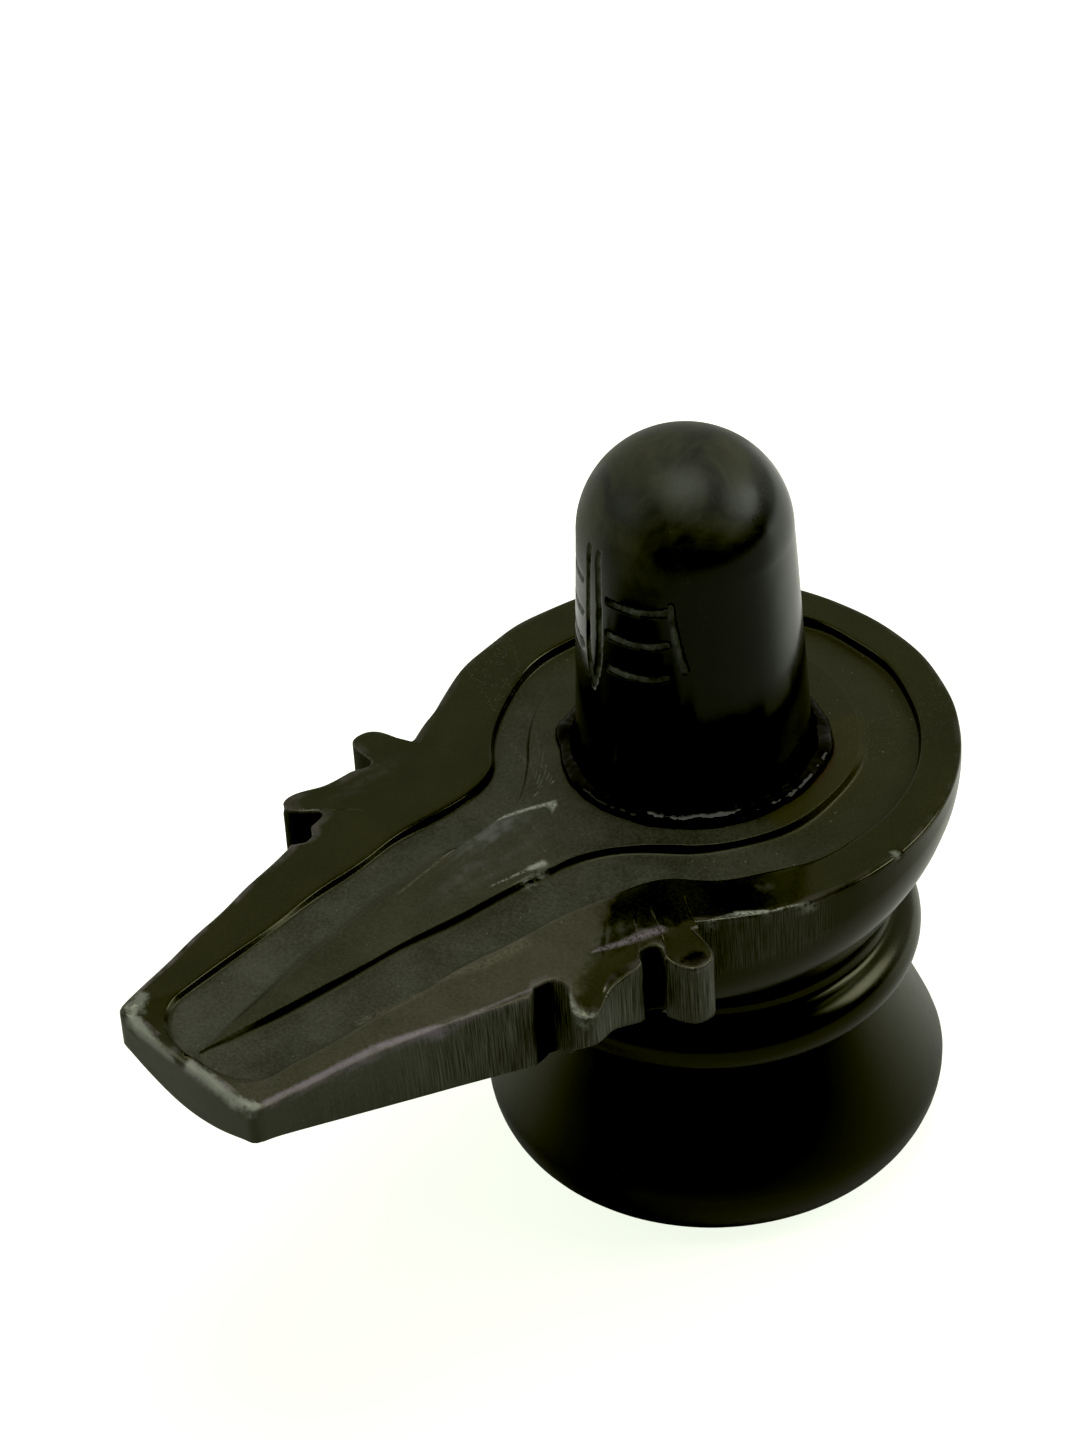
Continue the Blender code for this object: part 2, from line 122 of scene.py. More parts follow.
SPOUT_ROOT_REACH = 0.0398
SPOUT_TIP_WALL = 0.0078
SPOUT_CORNER_WALL = 0.0046
SPOUT_SWING = math.radians(-1.1)
LANE_END_REACH = SPOUT_REACH - LIP_WIDTH
TONGUE_REACH = LANE_END_REACH - LOBE_DEPTH - 0.0011

# The two lugs on each side of the spout's root
RIGHT_LUG_START = math.radians(-46)
RIGHT_LUG_DROP = 0.0011
RIGHT_LUG_LINE = ((0.0228, -0.0240), (0.0208, -0.0405))
LEFT_LUG_START = math.radians(-43.5)
LEFT_LUG_FLARE = 0.0016
LEFT_LUG_EXTRA_WALL = 0.0015
FLARE_START_SHARE = 0.7

# Each lug point: share of the way from plate to spout, distance out and wall height
LUG_POINTS = (
    (0.00, 0.0026, 0.0103),
    (0.01, 0.0050, 0.0096),
    (0.08, 0.0063, 0.0094),
    (0.25, 0.0065, 0.0090),
    (0.32, 0.0042, 0.0094),
    (0.34, 0.0015, 0.0098),
    (0.43, 0.0014, 0.0096),
    (0.52, 0.0026, 0.0090),
    (0.62, 0.0027, 0.0085),
    (0.80, 0.0033, 0.0072),
    (0.97, 0.0052, 0.0056),
    (1.08, 0.0058, 0.0052),
    (1.17, 0.0045, 0.0054),
    (1.12, 0.0025, 0.0080),
    (1.04, 0.0008, 0.0100),
)

# How finely each stretch of the plan is cut: plate, lugs, spout side and tip, on one half
STRETCHES = (126, 84, 62, 20)
ARRIS_STEPS = 5

# The turns, in degrees, at which a round loop passes from one stretch to the next
ROUND_STOPS = (90, -43, -60, -79, -90)

# The finishes that each loop of the base carries
FINISHES = ("rasped", "hollowed", "polished")

# Carved lines on the shaft, as (distance round from the mark, height below the shoulder)
MARK_TURN = math.radians(-101)
MARK_ABOVE_SHOULDER = 0.0025
MARK_LENGTH = 0.0192
MARK_HALF_WIDTH = 0.0018
STRIPES_BELOW_SHOULDER = 0.0079
STRIPE_STEP = 0.0047
STRIPE_START = 0.0027
STRIPE_LENGTH = 0.0078
STRIPE_RISE = 0.0009
END_LINE_OUT = 0.0108
END_LINE_LEAN = 0.0018
END_LINE_ABOVE = 0.0063
END_LINE_HEIGHT = 0.0090

# The shaft's grid, and how much of its height goes to the hidden disc and the side under the dome
SHAFT_GRID = (421, 181)
SHAFT_DISC_SHARE = 0.06
SHAFT_SIDE_SHARE = 0.66

# How far the paler dome reaches down on the left and stays up on the right: rubbed stone, with painted light
# from above that leans with the view
DOME_LIGHT_LEAN = 0.62

# Where the bead is widest, where it squeezed out on the left, and how it is divided
BEAD_FRONT = math.radians(-35)
BEAD_SQUEEZE = math.radians(-140)
BEAD_SQUEEZE_SPREAD = 0.16
BEAD_FLATNESS = 0.80
BEAD_STEPS = 300
BEAD_SECTION_STEPS = 24

# Chips knocked off edges: place, reach and depth
CHIPS = (
    ((-0.0268, -0.0190, PLATE_TOP - 0.0002), 0.0008, 0.00022),
    ((-0.0262, -0.0205, PLATE_TOP - 0.0002), 0.0006, 0.00018),
    ((-0.0268, -0.0432, PLATE_TOP - 0.0006), 0.0012, 0.00030),
    ((-0.0263, -0.0452, PLATE_TOP - 0.0014), 0.0011, 0.00025),
    ((0.0042, -0.0312, PLATE_TOP - 0.0004), 0.0011, 0.00040),
    ((0.0046, -0.0296, PLATE_TOP - 0.0003), 0.0008, 0.00030),
    ((0.0251, -0.0433, PLATE_TOP - 0.0016), 0.0014, 0.00030),
    ((0.0254, -0.0422, PLATE_TOP - 0.0012), 0.0011, 0.00025),
    ((0.0325, 0.0010, PLATE_TOP), 0.0007, 0.00020),
    ((-0.0120, -0.0775, PLATE_TOP - 0.0004), 0.0012, 0.00025),
    ((-0.0106, -0.0792, PLATE_TOP - 0.0004), 0.0014, 0.00030),
    ((-0.0012, -0.0797, PLATE_TOP - 0.0006), 0.0010, 0.00030),
    ((0.0022, -0.0795, PLATE_TOP - 0.0006), 0.0014, 0.00035),
    ((0.0060, -0.0795, PLATE_TOP - 0.0005), 0.0015, 0.00035),
    ((0.0095, -0.0790, PLATE_TOP - 0.0004), 0.0013, 0.00030),
)

# Slots cut up the side between and behind the lugs: place, half width and depth
SLOTS = (
    ((0.0196, -0.0428), 0.0017, 0.0013),
    ((-0.0218, -0.0446), 0.0016, 0.0012),
    ((0.0238, -0.0304), 0.0011, 0.0010),
)

# Where shade is painted deep in the slots and the notches by the lugs, coloured near black: place and reach
SLOT_SHADE = (
    ((0.0186, -0.0428), 0.0021),
    ((0.0232, -0.0300), 0.0017),
    ((-0.0240, -0.0450), 0.0110),
    ((-0.0275, -0.0318), 0.0070),
)

# Lines scraped, chipped or rubbed into the top, and painted highlights laid along edges as lines: points,
# half width at each end, strength, how far the line is broken up, and colour
# Pale is fresh stone in the chips and a painted glint on the edges; lilac is a painted sheen
PALE_STONE_AND_GLINT = (0.46, 0.50, 0.42)
LILAC_SHEEN = (0.30, 0.26, 0.30)
SAND = (0.25, 0.23, 0.16)
LINES_AND_GLINTS = (
    (((-0.0028, -0.0203), (-0.0037, -0.0197), (-0.0054, -0.0241), (-0.0065, -0.0278)),
     0.00050, 0.00024, 1.0, 0.7, PALE_STONE_AND_GLINT),
    (((-0.0065, -0.0278), (-0.0062, -0.0311), (-0.0059, -0.0349)), 0.00028, 0.00014, 0.7, 1.0, PALE_STONE_AND_GLINT),
    (((-0.0059, -0.0349), (-0.0054, -0.0389), (-0.0049, -0.0434)), 0.00040, 0.00020, 0.4, 1.0, SAND),
    (((0.0036, -0.0279), (0.0030, -0.0300)), 0.00075, 0.00055, 0.95, 0.5, PALE_STONE_AND_GLINT),
    (((0.0030, -0.0300), (0.0026, -0.0328), (0.0020, -0.0352)), 0.00034, 0.00015, 0.7, 1.0, PALE_STONE_AND_GLINT),
    # Painted highlight: a lilac sheen along the near edge of the spout's right side
    (((0.0103, -0.0773), (0.0108, -0.0747), (0.0118, -0.0687), (0.0127, -0.0627)),
     0.00060, 0.00080, 0.80, 0.3, LILAC_SHEEN),
    (((0.0127, -0.0627), (0.0145, -0.0574), (0.0156, -0.0552)), 0.00080, 0.00065, 0.95, 0.5, LILAC_SHEEN),
    (((0.0156, -0.0552), (0.0172, -0.0486), (0.0191, -0.0410)), 0.00045, 0.00025, 0.5, 0.9, LILAC_SHEEN),
    # Painted highlight: a lilac sheen along the ridge on the near rim by the lugs
    (((0.0190, -0.0352), (0.0204, -0.0314), (0.0211, -0.0290)), 0.00030, 0.00095, 0.7, 0.8, LILAC_SHEEN),
    (((0.0211, -0.0290), (0.0222, -0.0266)), 0.00095, 0.00060, 0.7, 0.8, LILAC_SHEEN),
    # Painted highlights: pale glints along the plate's right front edge
    (((0.0241, -0.0242), (0.0249, -0.0219), (0.0261, -0.0193)), 0.00030, 0.00045, 0.4, 1.0, PALE_STONE_AND_GLINT),
    (((0.0261, -0.0193), (0.0286, -0.0163)), 0.00055, 0.00035, 1.0, 0.8, PALE_STONE_AND_GLINT),
    (((0.0286, -0.0163), (0.0302, -0.0132), (0.0321, -0.0096)), 0.00030, 0.00018, 0.5, 1.0, PALE_STONE_AND_GLINT),
    # The tip's lip: pale wear on its rounded edge, with a painted highlight on it
    (((-0.0133, -0.0748), (-0.0120, -0.0776)), 0.00100, 0.00150, 0.5, 0.1, PALE_STONE_AND_GLINT),
    (((-0.0120, -0.0781), (-0.0077, -0.0787), (-0.0033, -0.0791)), 0.00110, 0.00035, 0.8, 0.2, PALE_STONE_AND_GLINT),
    (((-0.0016, -0.0785), (0.0023, -0.0784), (0.0067, -0.0788), (0.0103, -0.0779)),
     0.00110, 0.00060, 0.85, 0.2, PALE_STONE_AND_GLINT),
    (((0.0076, -0.0609), (0.0090, -0.0558), (0.0092, -0.0530)), 0.00150, 0.00110, 0.30, 1.0, SAND),
    (((0.0090, -0.0505), (0.0113, -0.0452), (0.0119, -0.0415), (0.0120, -0.0387)),
     0.00110, 0.00160, 0.30, 1.0, SAND),
    (((-0.0277, -0.0425), (-0.0262, -0.0455)), 0.00100, 0.00090, 0.9, 0.4, PALE_STONE_AND_GLINT),
    (((-0.0272, -0.0178), (-0.0261, -0.0208)), 0.00050, 0.00040, 0.9, 0.8, PALE_STONE_AND_GLINT),
    (((0.0205, -0.0410), (0.0236, -0.0424), (0.0254, -0.0428)), 0.00040, 0.00090, 0.5, 0.8, PALE_STONE_AND_GLINT),
)

# Colour on the curb: a paler khaki band round its right side, and a brown streak: points, half width and
# colour
CURB_BANDS = (
    (((0.0182, -0.0030), (0.0184, 0.0030), (0.0172, 0.0080), (0.0150, 0.0112), (0.0120, 0.0142)),
     0.0018, "khaki"),
    (((0.0166, 0.0040), (0.0150, 0.0078), (0.0128, 0.0106)), 0.0006, "brown"),
)

# Places that are rubbed pale: place, reach across and along the spout, strength
SCUFFS = (
    ((-0.0048, -0.0285), 0.0022, 0.0060, 0.8),
    ((-0.0010, -0.0330), 0.0026, 0.0050, 0.5),
    ((0.0252, -0.0135), 0.0013, 0.0013, 0.4),
    ((-0.0228, -0.0320), 0.0010, 0.0070, 0.18),
)

# A low ridge left by the chisel on the near rim
RIDGE = ((0.0189, -0.0350), (0.0188, -0.0318), (0.0196, -0.0290), (0.0218, -0.0262))
RIDGE_HEIGHT = 0.00035
RIDGE_WIDTH = 0.0008

# A direction in the plan, square to the edge of the shaft's reflection on the near rim, past which the rim
# is painted paler: dust, and painted light
ACROSS_REFLECTION_EDGE = (0.874, 0.566, 0.0)

# Where the piece is seen from, and the directions away from there and to the right
VIEW_TURN = math.radians(49.069)
VIEW_HEIGHT = math.radians(39.534)
VIEW_ROLL = math.radians(-3.877)
VIEW_FROM = Vector((0.33503, -0.31469, 0.44143))
VIEW_LENS = 125.0
VIEW_AWAY = Vector((-math.sin(VIEW_TURN), math.cos(VIEW_TURN), 0.0))
VIEW_RIGHT = Vector((math.cos(VIEW_TURN), math.sin(VIEW_TURN), 0.0))
BLACK_LEVEL = (0.006, 0.006, 0.0080)


def sized(name, description, default, low, high):
    """A length that the sidebar shows."""
    return bpy.props.FloatProperty(
        name=name, description=description, default=default, min=low, max=high, unit="LENGTH", precision=5
    )


def coloured(name, description, default):
    """A colour that the sidebar shows."""
    return bpy.props.FloatVectorProperty(
        name=name, description=description, default=default, size=3, subtype="COLOR", min=0.0, max=1.0
    )


class BaseSettings(bpy.types.PropertyGroup):
    """Sizes of the finer work on the base."""

    arris: sized("Arris", "How far the top edges are rubbed round", 0.00045, 0.0001, 0.0010)
    channel_depth: sized("Channel depth", "Depth of the channel and the two lanes", 0.0013, 0.0005, 0.0020)
    hand_waver: sized("Hand waver", "How far hand-cut surfaces stray from true", 0.00009, 0.0, 0.0005)
    rasp_pitch: sized("Rasp pitch", "Distance between rasp marks on the side wall", 0.00017, 0.0001, 0.0015)


class ShaftSettings(bpy.types.PropertyGroup):
    """Sizes of the shaft, of what is carved on it, and of the bead round it."""

    shoulder_radius: sized("Shoulder radius", "Radius where the dome begins", 0.0127, 0.005, 0.0142)
    dome_height: sized("Dome height", "Height of the rounded top", 0.01235, 0.006, 0.018)
    groove_width: sized("Line width", "Width of the carved lines", 0.00095, 0.0004, 0.002)
    groove_depth: sized("Line depth", "Depth of the carved lines", 0.0004, 0.0001, 0.0008)
    bead_thickness: sized("Bead thickness", "Half width of the bead", 0.00120, 0.0003, 0.0020)


class FinishSettings(bpy.types.PropertyGroup):
    """Colours of the stone and of the setting compound."""

    rubbed: coloured("Rubbed stone", "Smooth top faces", (0.0100, 0.0102, 0.0050))
    hollowed: coloured("Channel floor", "Stone left matte in the channel", (0.052, 0.055, 0.045))
    rasped: coloured("Rasped wall", "Stone between the rasp marks", (0.135, 0.144, 0.116))
    polished: coloured("Polished stone", "Shaft and foot", (0.0022, 0.0024, 0.0012))
    fresh: coloured("Chipped stone", "Chips and carved lines", (0.30, 0.33, 0.27))
    compound: coloured("Setting compound", "Dark glossy bead", (0.006, 0.0055, 0.005))


class StageSettings(bpy.types.PropertyGroup):
    """The table and the light."""

    table_width: sized("Table width", "Width of the pale table", 6.0, 1.0, 20.0)
    table_colour: coloured("Table", "Colour of the table", (0.92, 0.92, 0.90))
    table_glow: coloured("Table glow", "Glow that washes the table out to white", (0.88, 0.94, 0.82))
    light_colour: coloured("Light", "Colour of the light", (1.0, 1.0, 0.92))
    top_light: bpy.props.FloatProperty(
        name="Top light", description="Power of the lamp overhead", default=6.0, min=0.0, unit="POWER"
    )
    side_share: bpy.props.FloatProperty(
        name="Side light", description="Power of the right lamp as a share of the top light's",
        default=0.35, min=0.0, max=2.0,
    )
    surround: bpy.props.FloatProperty(
        name="Surround", description="Brightness of the surround behind the piece", default=0.36, min=0.0
    )


# Plan curves. Each half runs clockwise from the back of the plate to the middle of the tip.


def ramp(value, start, end):
    """0 before start, 1 after end, and a smooth rise between them."""
    share = np.clip((value - start) / (end - start), 0.0, 1.0)
    return share * share * (3 - 2 * share)


def blend(a, b, share):
    return a + (b - a) * share


def spread(start, end, count, closed=False):
    return np.linspace(start, end, count, endpoint=closed)


def shares(count):
    return spread(0, 1, count, closed=True)


def polar(radius, turn):
    return np.stack((radius * np.cos(turn), radius * np.sin(turn)), axis=-1)


def resample(points, count):
    """The same line through points, with even spacing along its first two columns."""
    steps = np.linalg.norm(np.diff(points[:, :2], axis=0), axis=1)
    along = np.concatenate(([0.0], np.cumsum(steps)))
    wanted = spread(0, along[-1], count)
    return np.stack([np.interp(wanted, along, column) for column in points.T], axis=1)


def rounded(points, first, last, times):
    """Softens the corners of a line between two of its points."""
    for _ in range(times):
        soft = (points[:-2] + 2 * points[1:-1] + points[2:]) / 4
        points[first:last] = soft[first - 1 : last - 1]
    return points


def whole(right, left=None):
    """The closed loop of a right half and a mirrored left half."""
    left = (right if left is None else left)[-2:0:-1].copy()
    left[:, 0] *= -1
    return np.concatenate((right, left))


def round_turns():
    turns = [
        spread(math.radians(start), math.radians(end), count)
        for start, end, count in zip(ROUND_STOPS, ROUND_STOPS[1:], STRETCHES)
    ]
    return np.concatenate(turns + [[math.radians(ROUND_STOPS[-1])]])


def round_loop(radius, shift=(0.0, 0.0)):
    return whole(polar(radius, round_turns())) + np.array(shift)


def hand_cut(points, shift=(0.0, 0.0)):
    """Where plan points really lie: the plate is cut off centre, and the spout askew."""
    share = ramp(-points[:, 1], SPOUT_ROOT_REACH / 2, SPOUT_ROOT_REACH)
    turn = SPOUT_SWING * share
    x = points[:, 0] + shift[0] * (1 - share)
    y = points[:, 1] + shift[1] * (1 - share)
    return np.stack((x * np.cos(turn) - y * np.sin(turn), x * np.sin(turn) + y * np.cos(turn)), axis=1)


def lug_fall(plan):
    """How far the rim slopes down towards the outside of the right lugs."""
    start, end = np.array(RIGHT_LUG_LINE)
    way = (end - start) / np.linalg.norm(end - start)
    along = (plan - start) @ way
    out = (plan - start) @ np.array((-way[1], way[0]))
    ends = ramp(along, -0.0030, 0.0015) * (1 - ramp(along, 0.0175, 0.0215))
    return RIGHT_LUG_DROP * ramp(out, -0.0012, 0.0045) * ends


def edge_half(lug_start, flare, extra_wall):
    """Half of the outer edge: place, wall height, drop of the lip, place and wall of the underside."""
    turns = spread(math.pi / 2, lug_start, STRETCHES[0])
    radius = PLATE_RADIUS + flare * ramp(-turns, -lug_start * FLARE_START_SHARE, -lug_start)
    deep = np.clip((PLATE_WALL_DEEPENS_FROM - turns) / (PLATE_WALL_DEEPENS_FROM - lug_start), 0, 1)
    wall = blend(PLATE_WALL, ROOT_WALL, deep)
    round_place = polar(radius, turns)
    plate = np.column_stack((round_place, wall, 0 * wall, round_place, wall))

    start = polar(PLATE_RADIUS + flare, lug_start)
    end = np.array((SPOUT_ROOT_HALF_WIDTH, -SPOUT_ROOT_REACH))
    along = (end - start) / np.linalg.norm(end - start)
    out = np.array((-along[1], along[0]))
    rows = [(*start, ROOT_WALL, 0.0, *start, ROOT_WALL)]
    for i, (share, distance, height) in enumerate(LUG_POINTS):
        place = blend(start, end, share) + out * distance
        under = blend(start, end, (i + 1) / (len(LUG_POINTS) + 1))
        rows.append((*place, height + extra_wall, 0.0, *under, ROOT_WALL))
    rows.append((*end, ROOT_WALL, 0.0, *end, ROOT_WALL))
    lugs = resample(np.array(rows), STRETCHES[1])

    share = spread(0, 1, STRETCHES[2])
    side = np.stack(
        (
            blend(SPOUT_ROOT_HALF_WIDTH, SPOUT_TIP_HALF_WIDTH, share),
            -blend(SPOUT_ROOT_REACH, SPOUT_REACH - 0.0004, share),
        ),
        axis=1,
    )
    side_wall = blend(ROOT_WALL, SPOUT_CORNER_WALL, share)
    spout = np.column_stack((side, side_wall, 0 * share, side, side_wall))

    share = shares(STRETCHES[3] + 1)
    front = np.stack((SPOUT_TIP_HALF_WIDTH * (1 - share), -SPOUT_REACH + 0 * share), axis=1)
    front_wall = blend(SPOUT_CORNER_WALL, SPOUT_TIP_WALL, np.sin(share * math.pi / 2))
    tip = np.column_stack((front, front_wall, LIP_DROP * np.minimum(1, 2 * share), front, front_wall))

    half = np.concatenate((plate, lugs, spout, tip))
    rounded(half, STRETCHES[0] - 6, STRETCHES[0] + STRETCHES[1] + 6, 7)
    corner = sum(STRETCHES[:3])
    return rounded(half, corner - 2, corner + 3, 2)


def circle_and_flare(radius, far, end):
    """Round the axis from the back, then a curve that eases past a far point to its end."""
    circle = polar(radius, spread(math.pi / 2, LANES_LEAVE, STRETCHES[0]))
    start = polar(radius, LANES_LEAVE)
    near = start + polar(FLARE_EASE, LANES_LEAVE - math.pi / 2)
    t = spread(0, 1, STRETCHES[1])[:, None]
    s = 1 - t
    flare = start * s**3 + near * 3 * s * s * t + far * 3 * s * t * t + end * t**3
    return np.concatenate((circle, flare))


def channel_half(inset):
    """The channel's outer wall: round the plate, down one lane and round the lane's end."""
    root = np.array((LANE_ROOT_HALF_WIDTH - inset, LANE_ROOT_BACK - SPOUT_ROOT_REACH))
    tip = np.array((LANE_TIP_HALF_WIDTH - inset, LANE_END_LENGTH - LANE_END_REACH))
    way = (tip - root) / np.linalg.norm(tip - root) * FLARE_EASE
    lane = blend(root, tip, spread(0, 1, STRETCHES[2])[:, None])
    share = shares(STRETCHES[3] + 1)
    turn = share * math.pi / 2
    reach = (LANE_END_LENGTH - inset) * np.sin(turn) - LOBE_DEPTH * share**4
    end = np.stack((tip[0] * np.abs(np.cos(turn)) ** LANE_END_POWER, tip[1] - reach), axis=1)
    end[-1, 0] = 0
    return np.concatenate((circle_and_flare(CHANNEL_RADIUS - inset, root - way, root), lane, end))


def curb_half(outset, half_width=TONGUE_HALF_WIDTH, fullness=TONGUE_FULLNESS):
    """The curb's outer edge round the shaft, then one side of the tongue down to its point."""
    share = shares(STRETCHES[2] + STRETCHES[3] + 1)
    width = half_width * (1 - share**fullness) + outset * (1 - share)
    side = np.stack((width, -blend(CURB_RADIUS + TONGUE_ROOT_RUN, TONGUE_REACH + outset, share)), axis=1)
    far = side[0] + np.array((0.0, FLARE_EASE))
    return np.concatenate((circle_and_flare(CURB_RADIUS + outset, far, side[0]), side))


def curb_loop(outset):
    right = curb_half(outset, TONGUE_RIGHT_HALF_WIDTH, TONGUE_RIGHT_FULLNESS)
    return hand_cut(whole(right, curb_half(outset)))


def eased(values, reach):
    """Values round a closed loop, each averaged smoothly with its neighbours."""
    weights = np.hanning(2 * reach + 3)[1:-1]
    wrapped = np.concatenate((values[-reach:], values, values[:reach]))
    return np.convolve(wrapped, weights / weights.sum(), "valid")


def inward(loop):
    """Unit directions in the plan from a clockwise loop towards its inside."""
    along = np.roll(loop, -1, axis=0) - np.roll(loop, 1, axis=0)
    along = np.roll(along, 1, axis=0) + 2 * along + np.roll(along, -1, axis=0)
    along /= np.linalg.norm(along, axis=1)[:, None]
    return np.stack((along[:, 1], -along[:, 0]), axis=1)


def set_in(loop, amount):
    return loop + inward(loop) * amount[:, None]


def waver(points, size, reach, seed):
    """A slow, repeatable wandering of plan points, from a few crossed waves."""
    made = np.random.default_rng(seed)
    total = np.zeros(len(points))
    for _ in range(6):
        way = made.normal(size=points.shape[1])
        way *= 2 * math.pi / (reach * np.linalg.norm(way))
        total += np.sin(points @ way + made.uniform(0, 2 * math.pi))
    return size * total / 3


class Stack:
    """Loops from the ground up, each with the finish that its stone gets."""

    def __init__(self):
        self.loops = []
        self.finish = []

    def add(self, plan, height, rasped=0.0, hollowed=0.0, polished=0.0):
        height = np.broadcast_to(height, len(plan))
        self.loops.append(np.column_stack((plan, height)))
        self.finish.append([np.broadcast_to(v, len(plan)) for v in (rasped, hollowed, polished)])


def add_ring(stack, radius, height, polished=1.0):
    stack.add(round_loop(radius, BODY_SHIFT), height, polished=polished)


def stack_foot(stack):
    for radius in (0.002, 0.010, 0.018, 0.0215):
        add_ring(stack, radius, 0.0, 0.3)
    for turn in spread(0, math.pi / 2, 13):
        radius = FOOT_REST_RADIUS + (FOOT_RADIUS - FOOT_REST_RADIUS) * math.sin(turn)
        height = FOOT_WIDEST_HEIGHT * (1 - math.cos(turn))
        add_ring(stack, radius, height)
    for share in shares(19):
        radius = blend(FOOT_RADIUS, FOOT_WAIST_RADIUS, share**FOOT_BELLY)
        height = blend(FOOT_WIDEST_HEIGHT, FOOT_HEIGHT, share)
        add_ring(stack, radius, height)


def stack_collar(stack):
    half = COLLAR_THICKNESS / 2
    add_ring(stack, FOOT_WAIST_RADIUS, FOOT_HEIGHT + COLLAR_GAP * 0.4, 0.6)
    for turn in spread(math.radians(-80), math.radians(82), 17, closed=True):
        radius = COLLAR_RADIUS - half + half * math.cos(turn)
        height = COLLAR_MIDDLE + half * math.sin(turn)
        add_ring(stack, radius, height)
    add_ring(stack, NECK_RADIUS + 0.0002, NECK_LEVEL - NECK_HEIGHT * 0.6, 0.8)


def shown_wall(edge, wall):
    """The height of the rasped wall: on the plate the smooth bowl begins higher up than at the lugs."""
    on_plate = ramp(edge[:, 1], -0.0260, -0.0200)
    return wall * (1 - 0.32 * on_plate)


def stack_underside(stack, edge, wall, under, under_wall):
    neck = round_loop(NECK_RADIUS, BODY_SHIFT)
    on_spout = ramp(-under[:, 1], PLATE_RADIUS / 2, SPOUT_ROOT_REACH)
    band = blend(BAND_HEIGHT, SPOUT_BAND_HEIGHT, on_spout)
    bowl = blend(PLATE_BOWL, SPOUT_BOWL, on_spout)
    last = blend(0.24, BAND_SHARE, ramp(-edge[:, 1], 0.016, 0.024))
    for step in shares(22):
        share = blend(1.0, last, step)
        rise = 1 - (np.maximum(share - BAND_SHARE, 0.0) / (1 - BAND_SHARE)) ** bowl
        at_lugs = ramp(-share, -0.22, -BAND_SHARE)
        outer = blend(under, edge, at_lugs[:, None])
        outer_wall = blend(under_wall, wall, at_lugs)
        plan = blend(neck, outer, (1 - share)[:, None])
        stack.add(plan, blend(NECK_LEVEL, PLATE_TOP - outer_wall - band, rise), polished=0.9)
    low = stack.loops[-1]
    foot = np.column_stack((edge, PLATE_TOP - shown_wall(edge, wall)))
    turn_in = blend(low, foot, 0.85)
    turn_in[:, 2] = blend(low[:, 2], foot[:, 2], 0.35)
    for t in shares(9)[1:]:
        loop = low * (1 - t) ** 2 + turn_in * 2 * t * (1 - t) + foot * t * t
        rough = t**6 * (1 - ramp(edge[:, 1], -0.0150, -0.0060))
        shine = 0.9 * (1 - t**3) + 0.7 * t**3 * (1 - rough)
        stack.add(loop[:, :2], loop[:, 2], polished=shine, rasped=rough)


def stack_side_wall(stack, edge, wall, drop, arris):
    foot = PLATE_TOP - shown_wall(edge, wall)
    head = PLATE_TOP - drop - lug_fall(edge) - arris
    rough = 1 - ramp(edge[:, 1], -0.0150, -0.0060)
    lean = NEAR_SIDE_LEAN * ramp(edge[:, 0], 0.002, 0.008)
    lean = lean * ramp(-edge[:, 1], 0.0440, 0.0580) * (1 - ramp(-edge[:, 1], 0.0640, 0.0780))
    for share in shares(14)[1:]:
        plan = set_in(edge, lean * share**2)
        stack.add(plan, blend(foot, head, share), rasped=rough, polished=0.7 * (1 - rough))
    for turn in spread(0, math.pi / 2, ARRIS_STEPS, closed=True)[1:]:
        plan = set_in(edge, lean + arris * (1 - math.cos(turn)))
        stack.add(plan, head + arris * math.sin(turn), rasped=0.5 * rough * math.cos(turn))
    return stack.loops[-1][:, :2]


